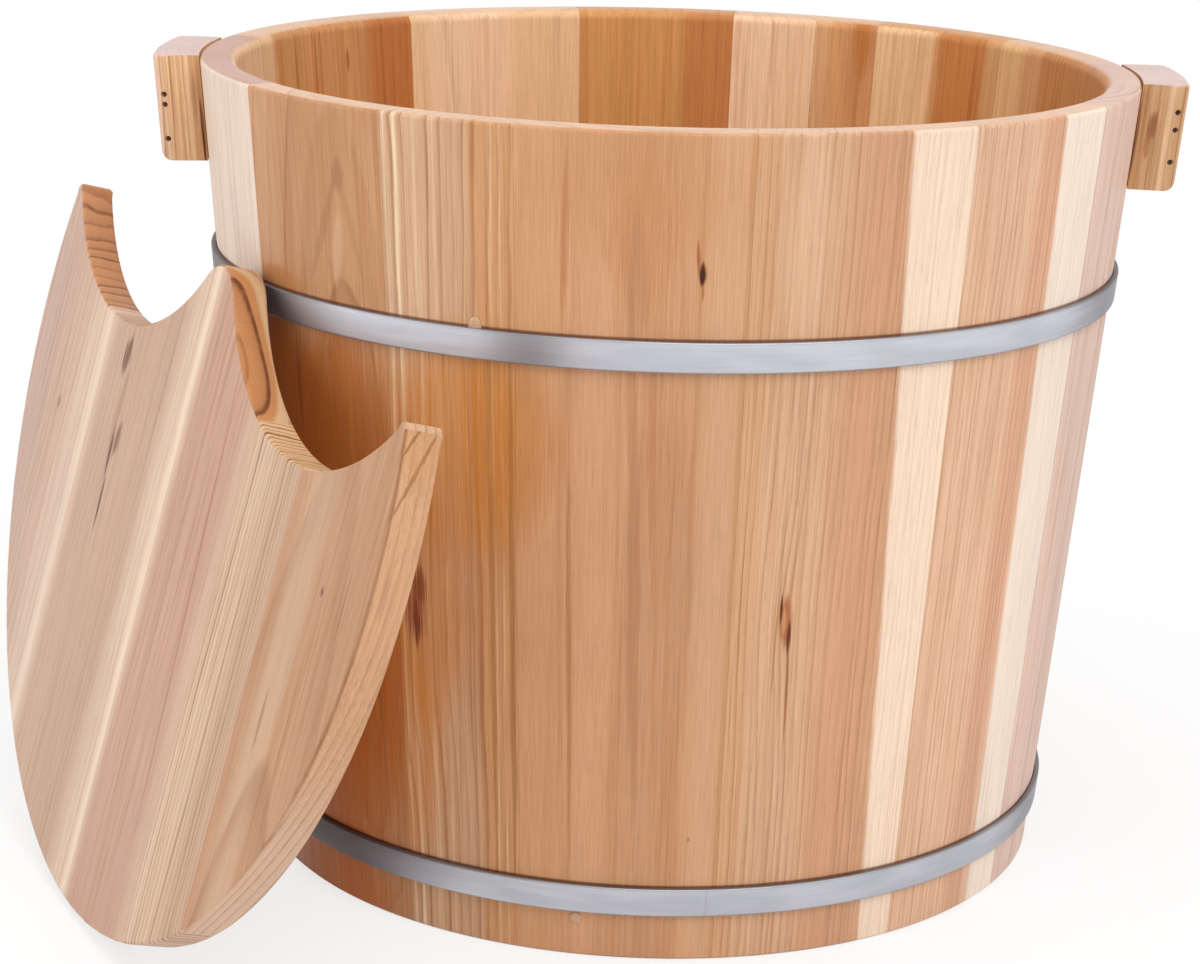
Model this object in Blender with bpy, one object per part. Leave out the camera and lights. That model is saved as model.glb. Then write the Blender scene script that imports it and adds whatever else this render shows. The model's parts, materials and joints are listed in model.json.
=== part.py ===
"""Coopered wooden foot bath tub with a leg-scalloped lid leaning against its upper hoop.

Units are metres, +Z is up and the floor is z = 0. The tub is modelled about its own axis and the lid
about its own centre; both hang on one empty that puts the middle of their common footprint at the origin.
"""

import math

import bmesh
import bpy
from mathutils import Matrix, Vector

# Tub body
RIM_RADIUS = 0.200
BASE_RADIUS = 0.1725
TUB_HEIGHT = 0.340
WALL = 0.015
RIM_ROUND = 0.002
FOOT_EASE = 0.0012

# Staves: share of the rim that each one takes, anticlockwise from the first seam, with its timber
STAVES = (
    (80, "tan"),
    (58, "tan"),
    (91, "tan"),
    (92, "rose"),
    (84, "rose"),
    (63, "pale"),
    (84, "pale"),
    (77, "tan"),
    (82, "rose"),
    (80, "cream"),
    (82, "red"),
    (98, "cream"),
    (77, "red"),
    (49, "tan"),
    (84, "tan"),
    (76, "pale"),
)
FIRST_SEAM = math.radians(-146)

# Bottom boards, seated in the croze groove
BOTTOM_LIFT = 0.0205
BOTTOM_THICK = 0.012
CROZE_DEPTH = 0.005
BOTTOM_SHARES = (58, 70, 66, 72, 60)

# Ear grips, flush with the rim
EAR_LENGTH = 0.066
EAR_HEIGHT = 0.0445
EAR_THICK = 0.0195
EAR_ROUND = 0.004
EAR_EASE = 0.0012

# Steel hoops: the upper one clears the ears, the lower one backs the croze
HOOP_WIDTH = 0.012
HOOP_THICK = 0.002
HOOP_EASE = 0.0004
EAR_TO_HOOP = 0.035
UPPER_HOOP_Z = TUB_HEIGHT - EAR_HEIGHT - EAR_TO_HOOP - HOOP_WIDTH
LOWER_HOOP_Z = BOTTOM_LIFT + (BOTTOM_THICK - HOOP_WIDTH) / 2

# Lid: a disc with two leg scallops that leave a rounded middle prong and two horns
LID_OVERHANG = 0.006
LID_RADIUS = RIM_RADIUS + LID_OVERHANG
LID_THICK = 0.015
LID_EASE = 0.0014
SCALLOP_RADIUS = 0.120
SCALLOP_FLOOR = 0.020
PRONG_TOP = 0.068
PRONG_ROUND = 0.021
HORN_ROUND = 0.004
LID_SHARES = ((96, "rose"), (110, "tan"), (73, "rose"), (51, "cream"), (82, "tan"))

# How the lid leans: slope from upright, side of the tub, turn in its own plane, offset along the tub
LID_LEAN = math.radians(14.5)
LID_BEARING = math.radians(62.1)
LID_TURN = math.radians(2.5)
LID_OFFSET = 0.0203

# Dowel pins across the seams
PIN_RADIUS = 0.002
PIN_LENGTH = 0.020
SEAM_PIN_Z = 0.170
LID_PIN_Y = -0.065

# Brads toe-nailed through the ears: distance from the ear's outside, slant, hold in the stave
BRAD_RADIUS = 0.0009
BRAD_ANGLE = math.radians(42)
BRAD_SET_IN = 0.0028
BRAD_SINK = 0.0008
BRAD_HOLD = 0.007
BRAD_LENGTH = (EAR_THICK - BRAD_SET_IN + BRAD_HOLD) / math.sin(BRAD_ANGLE) - BRAD_SINK
LEFT_BRAD_DROPS = (0.0165, 0.0208, 0.0352)
RIGHT_BRAD_DROPS = (0.0112, 0.0186, 0.0322)

# Clearances
SEAM_GAP = 0.0003
SEAT_GAP = 0.0003
BORE_GAP = 0.0003

# Facets
FACET_ANGLE = math.radians(4)
RING_FACETS = 96
PIN_FACETS = 10
ROUND_STEPS = 3
EASE_STEPS = 2
LID_RIM_STEPS = 60
SCALLOP_STEPS = 18
PRONG_STEPS = 8
SHARP_CORNER = math.radians(45)

# Colours: linear base colour and roughness
TIMBER = {
    "tan": (0.56, 0.30, 0.15),
    "rose": (0.58, 0.33, 0.20),
    "red": (0.45, 0.20, 0.09),
    "cream": (0.76, 0.56, 0.36),
    "pale": (0.74, 0.58, 0.47),
    "bamboo": (0.62, 0.45, 0.22),
}
TIMBER_ROUGHNESS = 0.55
STEEL = (0.56, 0.56, 0.60)
STEEL_ROUGHNESS = 0.32
NAIL = (0.09, 0.06, 0.05)
NAIL_ROUGHNESS = 0.6


def outer_radius(z):
    """Radius of the tub's outside at a height."""
    return BASE_RADIUS + (RIM_RADIUS - BASE_RADIUS) * z / TUB_HEIGHT


def clear_scene():
    for old in list(bpy.data.objects):
        bpy.data.objects.remove(old)


def finish(name, colour, roughness, metallic=0.0):
    material = bpy.data.materials.new(name)
    material.use_nodes = True
    shader = material.node_tree.nodes["Principled BSDF"]
    shader.inputs["Base Color"].default_value = (*colour, 1.0)
    shader.inputs["Roughness"].default_value = roughness
    shader.inputs["Metallic"].default_value = metallic
    return material


def timber(name, tone):
    return finish(name, TIMBER[tone], TIMBER_ROUGHNESS)


def empty(name, parent=None):
    holder = bpy.data.objects.new(name, None)
    holder.parent = parent
    bpy.context.collection.objects.link(holder)
    return holder


def add_piece(name, bm, material, parent, smooth_angle=math.radians(30)):
    """Turn a bmesh into a named object under its parent."""
    bmesh.ops.recalc_face_normals(bm, faces=bm.faces)
    mesh = bpy.data.meshes.new(name)
    bm.to_mesh(mesh)
    bm.free()
    mesh.shade_smooth()
    mesh.set_sharp_from_angle(angle=smooth_angle)
    piece = bpy.data.objects.new(name, mesh)
    piece.parent = parent
    if material:
        mesh.materials.append(material)
    bpy.context.collection.objects.link(piece)
    return piece


def arc(centre, radius, start, end, steps):
    """Points along a circular arc, both ends included."""
    points = []
    for i in range(steps + 1):
        a = start + (end - start) * i / steps
        points.append((centre[0] + radius * math.cos(a), centre[1] + radius * math.sin(a)))
    return points


def turned_sector(profile, start, end, steps):
    """Sweep an (r, z) profile about Z from one angle to another and close both ends."""
    bm = bmesh.new()
    rows = []
    for i in range(steps + 1):
        a = start + (end - start) * i / steps
        rows.append([bm.verts.new((r * math.cos(a), r * math.sin(a), z)) for r, z in profile])
    count = len(profile)
    for row, after in zip(rows, rows[1:]):
        for j in range(count):
            k = (j + 1) % count
            bm.faces.new((row[j], row[k], after[k], after[j]))
    bm.faces.new(rows[0])
    bm.faces.new(rows[-1])
    return bm


def turned_ring(profile, steps):
    """Sweep an (r, z) profile all the way round Z."""
    bm = bmesh.new()
    rows = []
    for i in range(steps):
        a = 2 * math.pi * i / steps
        rows.append([bm.verts.new((r * math.cos(a), r * math.sin(a), z)) for r, z in profile])
    count = len(profile)
    for i, row in enumerate(rows):
        after = rows[(i + 1) % steps]
        for j in range(count):
            k = (j + 1) % count
            bm.faces.new((row[j], row[k], after[k], after[j]))
    return bm


def prism(outline, thickness):
    """Extrude a flat outline upwards from z = 0."""
    bm = bmesh.new()
    base = bm.faces.new([bm.verts.new((x, y, 0.0)) for x, y in outline])
    top = bmesh.ops.extrude_face_region(bm, geom=[base])
    risen = [v for v in top["geom"] if isinstance(v, bmesh.types.BMVert)]
    bmesh.ops.translate(bm, verts=risen, vec=(0.0, 0.0, thickness))
    return bm


def keep_strip(bm, low, high):
    """Saw a board out of a panel: keep what lies between two values of x."""
    for x, side in ((low, -1), (high, 1)):
        geom = list(bm.verts) + list(bm.edges) + list(bm.faces)
        bmesh.ops.bisect_plane(
            bm, geom=geom, plane_co=(x, 0, 0), plane_no=(side, 0, 0), clear_outer=True, dist=1e-7
        )
        rim = [e for e in bm.edges if e.is_boundary]
        if rim:
            bmesh.ops.contextual_create(bm, geom=rim)


def seams(shares, low, high):
    """Edges of boards that share the width between two limits."""
    edges = [low]
    for share in shares:
        edges.append(edges[-1] + (high - low) * share / sum(shares))
    return edges


def rod(length, radius):
    """A round rod along +Z from the origin."""
    bm = bmesh.new()
    bmesh.ops.create_cone(
        bm, cap_ends=True, segments=PIN_FACETS, radius1=radius, radius2=radius, depth=length
    )
    bmesh.ops.translate(bm, verts=bm.verts, vec=(0, 0, length / 2))
    return bm


def stand_along(piece, start, direction):
    """Put a rod's foot at a point of its parent's frame and point it along a direction."""
    piece.location = start
    piece.rotation_euler = Vector(direction).to_track_quat("Z", "Y").to_euler()


def bore(piece, start, direction, length, radius):
    """Drill a round hole into a piece."""
    drill = add_piece(piece.name + "_drill", rod(length, radius), None, piece.parent)
    stand_along(drill, start, direction)
    drill.hide_render = True
    drill.display_type = "WIRE"
    cut = piece.modifiers.new("bore", "BOOLEAN")
    cut.operation = "DIFFERENCE"
    cut.object = drill


def dowel(name, middle, direction, pieces):
    """A hidden bamboo pin across a seam, in a bore through both pieces."""
    axis = Vector(direction).normalized()
    start = Vector(middle) - axis * PIN_LENGTH / 2
    pin = add_piece(name, rod(PIN_LENGTH, PIN_RADIUS), timber(name, "bamboo"), pieces[0].parent)
    stand_along(pin, start, axis)
    for piece in pieces:
        bore(piece, start - axis * BORE_GAP, axis, PIN_LENGTH + 2 * BORE_GAP, PIN_RADIUS + BORE_GAP)


def stave_profile():
    """Cross-section of a stave: eased foot, rounded rim, and the croze on its inner side."""
    croze_low = BOTTOM_LIFT - SEAT_GAP
    croze_high = BOTTOM_LIFT + BOTTOM_THICK + SEAT_GAP
    rim_z = TUB_HEIGHT - RIM_ROUND
    rim_out = outer_radius(rim_z) - RIM_ROUND
    rim_in = outer_radius(rim_z) - WALL + RIM_ROUND

    def inner(z):
        return outer_radius(z) - WALL

    profile = [(inner(0) + FOOT_EASE, 0), (outer_radius(0) - FOOT_EASE, 0)]
    profile += [(outer_radius(FOOT_EASE), FOOT_EASE)]
    profile += arc((rim_out, rim_z), RIM_ROUND, 0, math.pi / 2, ROUND_STEPS)
    profile += arc((rim_in, rim_z), RIM_ROUND, math.pi / 2, math.pi, ROUND_STEPS)
    profile += [(inner(croze_high), croze_high), (inner(croze_high) + CROZE_DEPTH, croze_high)]
    profile += [(inner(croze_low) + CROZE_DEPTH, croze_low), (inner(croze_low), croze_low)]
    profile += [(inner(FOOT_EASE), FOOT_EASE)]
    return profile


def build_staves(tub):
    """The coopered wall: staves of uneven width, each pinned to the next across the seam."""
    total = sum(share for share, _ in STAVES)
    profile = stave_profile()
    half_gap = SEAM_GAP / 2 / RIM_RADIUS
    staves = []
    starts = []
    angle = FIRST_SEAM
    for number, (share, tone) in enumerate(STAVES, 1):
        span = 2 * math.pi * share / total
        name = f"stave_{number:02d}"
        steps = math.ceil(span / FACET_ANGLE)
        bm = turned_sector(profile, angle + half_gap, angle + span - half_gap, steps)
        staves.append(add_piece(name, bm, timber(name, tone), tub))
        starts.append(angle)
        angle += span
    pin_r = outer_radius(SEAM_PIN_Z) - WALL / 2
    for number, a in enumerate(starts, 1):
        middle = (pin_r * math.cos(a), pin_r * math.sin(a), SEAM_PIN_Z)
        tangent = (-math.sin(a), math.cos(a), 0)
        dowel(f"seam_pin_{number:02d}", middle, tangent, (staves[number - 1], staves[number - 2]))
    return staves, starts


def build_bottom(tub):
    """The floor of the tub: a disc of boards whose edge sits in the croze."""
    radius = outer_radius(BOTTOM_LIFT) - WALL + CROZE_DEPTH - SEAT_GAP
    outline = arc((0, 0), radius, 0, 2 * math.pi * (1 - 1 / RING_FACETS), RING_FACETS - 1)
    edges = seams(BOTTOM_SHARES, -radius, radius)
    boards = []
    for number, (low, high) in enumerate(zip(edges, edges[1:]), 1):
        bm = prism(outline, BOTTOM_THICK)
        keep_strip(bm, low + SEAM_GAP / 2, high - SEAM_GAP / 2)
        bmesh.ops.translate(bm, verts=bm.verts, vec=(0, 0, BOTTOM_LIFT))
        name = f"bottom_board_{number}"
        boards.append(add_piece(name, bm, timber(name, "tan"), tub))
    for number, x in enumerate(edges[1:-1], 1):
        middle = (x, 0, BOTTOM_LIFT + BOTTOM_THICK / 2)
        dowel(f"bottom_pin_{number}", middle, (1, 0, 0), boards[number - 1 : number + 1])


def build_hoop(name, low, tub):
    """A conical steel strip that sits on the staves."""
    high = low + HOOP_WIDTH
    inner_low = outer_radius(low) + SEAT_GAP
    inner_high = outer_radius(high) + SEAT_GAP
    profile = [
        (inner_low, low),
        (inner_low + HOOP_THICK - HOOP_EASE, low),
        (inner_low + HOOP_THICK, low + HOOP_EASE),
        (inner_high + HOOP_THICK, high - HOOP_EASE),
        (inner_high + HOOP_THICK - HOOP_EASE, high),
        (inner_high, high),
    ]
    add_piece(name, turned_ring(profile, RING_FACETS), finish(name, STEEL, STEEL_ROUGHNESS, 1.0), tub)


def stave_at(bearing, staves, starts):
    """The stave that stands at a bearing round the tub."""
    past = [(bearing - start) % (2 * math.pi) for start in starts]
    return staves[past.index(min(past))]


def ear_block(bearing, half):
    """A curved block that follows the wall, with a round underside and ends and an eased top."""
    low = TUB_HEIGHT - EAR_HEIGHT
    profile = [
        (outer_radius(low) + SEAT_GAP, low),
        (outer_radius(low) + EAR_THICK, low),
        (outer_radius(TUB_HEIGHT) + EAR_THICK, TUB_HEIGHT),
        (outer_radius(TUB_HEIGHT) + SEAT_GAP, TUB_HEIGHT),
    ]
    bm = turned_sector(profile, bearing - half, bearing + half, math.ceil(2 * half / FACET_ANGLE))

    def outside(edge):
        far = all(math.hypot(*v.co.xy) > outer_radius(v.co.z) + EAR_THICK / 2 for v in edge.verts)
        return far and edge.calc_face_angle(0) > SHARP_CORNER

    def on_top(edge):
        return all(v.co.z > TUB_HEIGHT - EAR_EASE for v in edge.verts)

    rounded = [e for e in bm.edges if outside(e) and not on_top(e)]
    bmesh.ops.bevel(bm, geom=rounded, offset=EAR_ROUND, segments=ROUND_STEPS, profile=0.5, affect="EDGES")
    bm.normal_update()
    eased = [e for e in bm.edges if on_top(e) and outside(e)]
    bmesh.ops.bevel(bm, geom=eased, offset=EAR_EASE, segments=EASE_STEPS, profile=0.5, affect="EDGES")
    return bm


def build_ear(name, bearing, front, drops, staves, starts, tub):
    """A grip block glued to the wall, toe-nailed at the end that faces the front."""
    half = EAR_LENGTH / 2 / (RIM_RADIUS + EAR_THICK / 2)
    ear = add_piece(name, ear_block(bearing, half), timber(name, "tan"), tub)
    end = bearing + front * half
    inward = Vector((-math.cos(end), -math.sin(end), 0))
    along = Vector((math.sin(end), -math.cos(end), 0)) * front
    slant = math.cos(BRAD_ANGLE) * along + math.sin(BRAD_ANGLE) * inward
    for number, drop in enumerate(drops, 1):
        z = TUB_HEIGHT - drop
        entry = Vector((0, 0, z)) - inward * (outer_radius(z) + EAR_THICK - BRAD_SET_IN)
        tip = entry + slant * (BRAD_SINK + BRAD_LENGTH)
        brad_name = f"{name}_brad_{number}"
        steel = finish(brad_name, NAIL, NAIL_ROUGHNESS, 1.0)
        brad = add_piece(brad_name, rod(BRAD_LENGTH, BRAD_RADIUS), steel, tub)
        stand_along(brad, entry + slant * BRAD_SINK, slant)
        behind = {stave_at(math.atan2(p.y, p.x), staves, starts) for p in (entry, tip)}
        mouth = entry - slant * EAR_ROUND
        reach = EAR_ROUND + BRAD_SINK + BRAD_LENGTH + BORE_GAP
        for piece in (ear, *behind):
            bore(piece, mouth, slant, reach, BRAD_RADIUS + BORE_GAP)


def lid_outline():
    """Lid seen from outside: x across, y towards the prong, origin at the disc's centre."""
    # The prong's round tip runs smoothly into the scallop on each side of it
    tip = (0.0, PRONG_TOP - PRONG_ROUND)
    centre_y = SCALLOP_FLOOR + SCALLOP_RADIUS
    spread = math.sqrt((SCALLOP_RADIUS + PRONG_ROUND) ** 2 - (centre_y - tip[1]) ** 2)
    scallop = (spread, centre_y)
    aside = math.atan2(centre_y - tip[1], spread)
    # Where the scallop runs out through the edge of the disc it leaves a horn
    reach = math.hypot(*scallop)
    along = (LID_RADIUS**2 - SCALLOP_RADIUS**2 + reach**2) / (2 * reach)
    horn = math.atan2(centre_y, spread) - math.acos(along / LID_RADIUS)
    horn_x = LID_RADIUS * math.cos(horn)
    horn_y = LID_RADIUS * math.sin(horn)
    to_horn = math.atan2(horn_y - centre_y, horn_x - spread)

    rim = arc((0, 0), LID_RADIUS, horn, -math.pi - horn, LID_RIM_STEPS)
    right = arc(scallop, SCALLOP_RADIUS, aside - math.pi, to_horn, SCALLOP_STEPS)
    left = [(-x, y) for x, y in reversed(right)]
    crown = arc(tip, PRONG_ROUND, math.pi - aside, aside, PRONG_STEPS)
    return rim + left[1:-1] + crown + right[1:-1]


def lid_panel():
    """The whole lid as one panel, back face at z = 0, with rounded horns and eased edges."""
    bm = prism(lid_outline(), LID_THICK)

    def upright(edge):
        return abs(edge.verts[0].co.z - edge.verts[1].co.z) > LID_THICK / 2

    horns = [e for e in bm.edges if upright(e) and e.calc_face_angle(0) > SHARP_CORNER]
    bmesh.ops.bevel(bm, geom=horns, offset=HORN_ROUND, segments=ROUND_STEPS, profile=0.5, affect="EDGES")
    edges = [e for e in bm.edges if not upright(e)]
    bmesh.ops.bevel(bm, geom=edges, offset=LID_EASE, segments=EASE_STEPS, profile=0.5, affect="EDGES")
    return bm


def build_lid(lid):
    """Boards of the lid, sawn out of one panel so that their faces stay flush."""
    panel = lid_panel()
    low = min(v.co.x for v in panel.verts)
    high = max(v.co.x for v in panel.verts)
    edges = seams([share for share, _ in LID_SHARES], low, high)
    boards = []
    for number, (_, tone) in enumerate(LID_SHARES, 1):
        bm = panel.copy()
        keep_strip(bm, edges[number - 1] + SEAM_GAP / 2, edges[number] - SEAM_GAP / 2)
        name = f"lid_board_{number}"
        boards.append(add_piece(name, bm, timber(name, tone), lid))
    panel.free()
    for number, x in enumerate(edges[1:-1], 1):
        middle = (x, LID_PIN_Y, LID_THICK / 2)
        dowel(f"lid_pin_{number}", middle, (1, 0, 0), boards[number - 1 : number + 1])
    return boards


def lean_lid(lid, boards):
    """Stand the lid's edge on the floor and its prong against the tub."""
    outward = Vector((-math.sin(LID_BEARING), -math.cos(LID_BEARING), 0))
    up = Vector((0, 0, 1))
    normal = math.cos(LID_LEAN) * outward + math.sin(LID_LEAN) * up
    slope = math.cos(LID_LEAN) * up - math.sin(LID_LEAN) * outward
    level = slope.cross(normal)
    across = math.cos(LID_TURN) * level - math.sin(LID_TURN) * slope
    upright = math.sin(LID_TURN) * level + math.cos(LID_TURN) * slope
    turn = Matrix((across, upright, normal)).transposed()

    lowest = min((turn @ v.co).z for board in boards for v in board.data.vertices)
    # The prong meets the wall at its tip, or the upper hoop where it reaches that high
    tip_z = PRONG_TOP * upright.z - lowest
    contacts = [(outer_radius(tip_z), tip_z)]
    if tip_z > UPPER_HOOP_Z:
        hoop_z = min(tip_z, UPPER_HOOP_Z + HOOP_WIDTH)
        contacts.append((outer_radius(hoop_z) + SEAT_GAP + HOOP_THICK, hoop_z))
    touch = max(r * math.cos(LID_LEAN) + z * math.sin(LID_LEAN) for r, z in contacts) + SEAT_GAP
    out = (touch + lowest * math.sin(LID_LEAN)) / math.cos(LID_LEAN)
    place = out * outward + LID_OFFSET * level - lowest * up
    lid.matrix_local = Matrix.Translation(place) @ turn.to_4x4()


def centre_footprint(root):
    """Slide the whole assembly so that the middle of its box lies over the origin."""
    bpy.context.view_layer.update()
    corners = [
        piece.matrix_world @ v.co
        for piece in bpy.data.objects
        if piece.type == "MESH" and not piece.hide_render
        for v in piece.data.vertices
    ]
    for axis in range(2):
        values = [c[axis] for c in corners]
        root.location[axis] = -(min(values) + max(values)) / 2


def main():
    clear_scene()
    root = empty("foot_bath")
    tub = empty("tub_axis", root)
    lid = empty("lid_lean", root)
    staves, starts = build_staves(tub)
    build_bottom(tub)
    build_hoop("upper_hoop", UPPER_HOOP_Z, tub)
    build_hoop("lower_hoop", LOWER_HOOP_Z, tub)
    build_ear("right_ear", 0.0, -1, RIGHT_BRAD_DROPS, staves, starts, tub)
    build_ear("left_ear", math.pi, 1, LEFT_BRAD_DROPS, staves, starts, tub)
    boards = build_lid(lid)
    lean_lid(lid, boards)
    centre_footprint(root)


main()
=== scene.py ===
"""Wooden foot bath tub: the finish of every piece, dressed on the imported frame.

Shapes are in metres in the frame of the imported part. Timber is described in millimetres on each board:
across it, deep into it from its show face, and along its grain.
"""

import json
import math
from dataclasses import dataclass

import bmesh
import bpy
from mathutils import Matrix, Vector

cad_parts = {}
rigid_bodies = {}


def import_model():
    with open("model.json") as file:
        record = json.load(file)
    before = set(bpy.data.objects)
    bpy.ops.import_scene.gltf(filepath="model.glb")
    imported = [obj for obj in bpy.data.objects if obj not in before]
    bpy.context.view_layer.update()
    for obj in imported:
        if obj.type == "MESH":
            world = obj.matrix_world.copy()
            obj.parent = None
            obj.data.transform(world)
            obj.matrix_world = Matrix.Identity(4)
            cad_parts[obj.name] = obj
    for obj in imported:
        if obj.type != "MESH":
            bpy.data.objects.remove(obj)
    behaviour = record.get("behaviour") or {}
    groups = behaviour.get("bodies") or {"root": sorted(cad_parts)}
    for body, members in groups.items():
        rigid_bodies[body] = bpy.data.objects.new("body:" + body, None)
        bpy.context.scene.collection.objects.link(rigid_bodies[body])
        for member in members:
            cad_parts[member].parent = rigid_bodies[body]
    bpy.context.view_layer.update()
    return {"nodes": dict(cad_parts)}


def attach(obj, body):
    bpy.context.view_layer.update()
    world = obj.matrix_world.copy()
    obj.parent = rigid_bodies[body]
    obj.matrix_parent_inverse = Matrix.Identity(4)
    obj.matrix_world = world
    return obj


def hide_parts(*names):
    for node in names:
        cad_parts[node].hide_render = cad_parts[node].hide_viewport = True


MM = 0.001

# Tub, about its own upright axis
TUB_AXIS = Vector((0.038748, 0.053643, 0.0))
RIM_RADIUS = 0.200
BASE_RADIUS = 0.1725
TUB_HEIGHT = 0.340
WALL = 0.015
WALL_SLOPE = (RIM_RADIUS - BASE_RADIUS) / TUB_HEIGHT
RIM_ROUND = 0.002
RIM_LIP = 0.005
RIM_STEPS = 6
LIP_STEPS = 10
FOOT_EASE = 0.0012
FIRST_SEAM = math.radians(-146)
STAVE_SHARES = (80, 58, 91, 92, 84, 63, 84, 77, 82, 80, 82, 98, 77, 49, 84, 76)
HAIR_SEAM = 0.00008

# Bottom boards in their groove
BOTTOM_LIFT = 0.0205
BOTTOM_THICK = 0.012
BOTTOM_FACETS = 192
CROZE_DEPTH = 0.005
BOTTOM_SHARES = (58, 70, 66, 72, 60)
SEAT_GAP = 0.0003

# Hoops
HOOP_WIDTH = 0.012
HOOP_THICK = 0.002
HOOP_ROUND = 0.0006
HOOP_STEPS = 4

# Ears and the brads in their front ends
EAR_LENGTH = 0.066
EAR_HEIGHT = 0.0445
EAR_THICK = 0.0195
EAR_ROUND = 0.004
EAR_ROUND_STEPS = 5
EAR_EASE = 0.0012
EASE_STEPS = 3
BRAD_ANGLE = math.radians(42)
BRAD_SET_IN = 0.0028
BRAD_BORE = 0.0012
BRAD_REACH = 0.040
BRAD_FACETS = 16
LEFT_BRAD_DROPS = (0.0165, 0.0208, 0.0352)
RIGHT_BRAD_DROPS = (0.0112, 0.0186, 0.0322)

# Lid, about the middle of its back face
LID_CENTRE = Vector((-0.139174, -0.063532, 0.199053))
LID_LEAN = math.radians(14.5)
LID_BEARING = math.radians(62.1)
LID_TURN = math.radians(2.5)
LID_RADIUS = 0.206
LID_THICK = 0.015
LID_EASE = 0.0014
LID_RIM_STEPS = 200
SCALLOP_RADIUS = 0.120
SCALLOP_STEPS = 64
SCALLOP_FLOOR = 0.020
PRONG_TOP = 0.068
PRONG_ROUND = 0.021
PRONG_STEPS = 28
HORN_ROUND = 0.004
HORN_STEPS = 5
LID_SHARES = (96, 110, 73, 51, 82)

# Dried lacquer drops against the hoops: bearing from the front, height, half width, half height
LACQUER_DROPS = (
    (math.radians(-21.3), 0.2605, 0.0028, 0.0040),
    (math.radians(-8.8), 0.0170, 0.0026, 0.0026),
)
DROP_RISE = 0.0009
DROP_FACETS = 32
DROP_NEAR = 1e-6

# Smoothness of the turned work
TURN_STEP = math.radians(1.2)
SHARP_ANGLE = math.radians(35)
CORNER = math.radians(45)
SAW_NEAR = 1e-7


def lid_axes():
    """Across the lid, along it towards the prong, and out of its show face."""
    up = Vector((0, 0, 1))
    away = Vector((-math.sin(LID_BEARING), -math.cos(LID_BEARING), 0))
    out = math.cos(LID_LEAN) * away + math.sin(LID_LEAN) * up
    slope = math.cos(LID_LEAN) * up - math.sin(LID_LEAN) * away
    level = slope.cross(out)
    across = math.cos(LID_TURN) * level - math.sin(LID_TURN) * slope
    along = math.sin(LID_TURN) * level + math.cos(LID_TURN) * slope
    return across, along, out


LID_ACROSS, LID_ALONG, LID_OUT = lid_axes()


@dataclass
class Hoop:
    """A strip hoop: its lower edge, its weld in degrees from the front, its tone and its spans of painted
    shade.

    A span runs from one bearing to another, with a softness and a strength. Each span is painted shade: it
    darkens the steel where the lid shades it and where it reflects dark surroundings. The lower hoop is
    drawn darker in tone.
    """

    low: float
    weld: float
    strip_tone: float
    shaded_spans: tuple


HOOPS = {
    "upper_hoop": Hoop(
        low=0.2485,
        weld=176,
        strip_tone=1.0,
        shaded_spans=((-130, -45, 10.0, 0.75), (-18.5, -11.5, 3.5, 0.5), (60, 130, 9.0, 0.6)),
    ),
    "lower_hoop": Hoop(
        low=BOTTOM_LIFT,
        weld=8.3,
        strip_tone=0.88,
        shaded_spans=((-130, -33, 11.0, 1.0), (62, 130, 9.0, 0.5)),
    ),
}


@dataclass
class Band:
    """A stripe of another tone along the board, from one place across it to another.

    It may show fewer grain lines, drift aside along the board and show through in the sawn end.
    """

    low: float
    high: float
    colour: tuple
    soft: float = 1.0
    grain: float = 1.0
    drift: float = 0.0
    through: float = 0.0


@dataclass
class Mark:
    """A knot, streak, smudge or patch of painted shade: its middle, half width, half length, colour and
    strength.

    It may drift aside along the board, bend the rings round it and have a crumbly edge. On the edge of a
    board it is placed by its depth instead of across.
    """

    across: float
    along: float
    wide: float
    tall: float
    colour: tuple
    strength: float = 0.8
    drift: float = 0.0
    bends: bool = False
    crumbly: float = 0.5
    on_edge: bool = False


@dataclass
class Timber:
    """How one board was sawn and what it shows.

    The pith's place across and deep, its lean along the board and the width of a ring shape the grain, with
    rings that are oval and wobble. Lines are late wood and hairs are dark fibres, from 0 up in strength. The
    sawn end has a tone and lines of its own, which a foot, and a rind outside the core, may change. The edge
    is the tone below the arris of the show face.
    """

    heart: tuple
    seed: float
    pith: tuple = (-220, 50)
    lean: tuple = (0.0, 0.0)
    rings: float = 4.0
    lines: float = 0.4
    hairs: float = 0.3
    oval: float = 1.0
    wobble: float = 1.0
    bands: tuple = ()
    marks: tuple = ()
    end: tuple = (0.62, 0.412, 0.285)
    end_lines: float = 0.3
    foot: tuple = ()
    edge: tuple = ()
    core: float = 0.0
    rind: tuple = ()


LATE_WOOD = (0.48, 0.32, 0.20)
END_LINE = (0.30, 0.17, 0.09)
SEASONED = (0.80, 0.68, 0.54)
# Tint of the dark line drawn on the wall over each hoop
HOOP_LINE_TINT = (0.30, 0.17, 0.11)
LINE_BROWN = (0.31, 0.125, 0.04)
KNOT = (0.120, 0.028, 0.007)
KNOT_RED = (0.36, 0.125, 0.042)
BARK = (0.33, 0.105, 0.045)
SMUDGE = (0.36, 0.18, 0.095)
SAPWOOD = (0.81, 0.635, 0.485)
RIM_PINK = (0.58, 0.405, 0.335)
RIM_ROSE = (0.465, 0.285, 0.232)
RIM_BROWN = (0.52, 0.275, 0.135)
STAIN = (0.44, 0.175, 0.045)
# Redder heartwood with painted shade: the lid's shade and the warm light it throws back, on the wall beside,
# behind and below it
RED_HEART_AND_SHADE = (0.46, 0.130, 0.018)
# Painted shade along the lid's edge, warm from the light the lid throws back on the wall
PAINTED_WARM_SHADE = (0.57, 0.20, 0.022)

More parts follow.
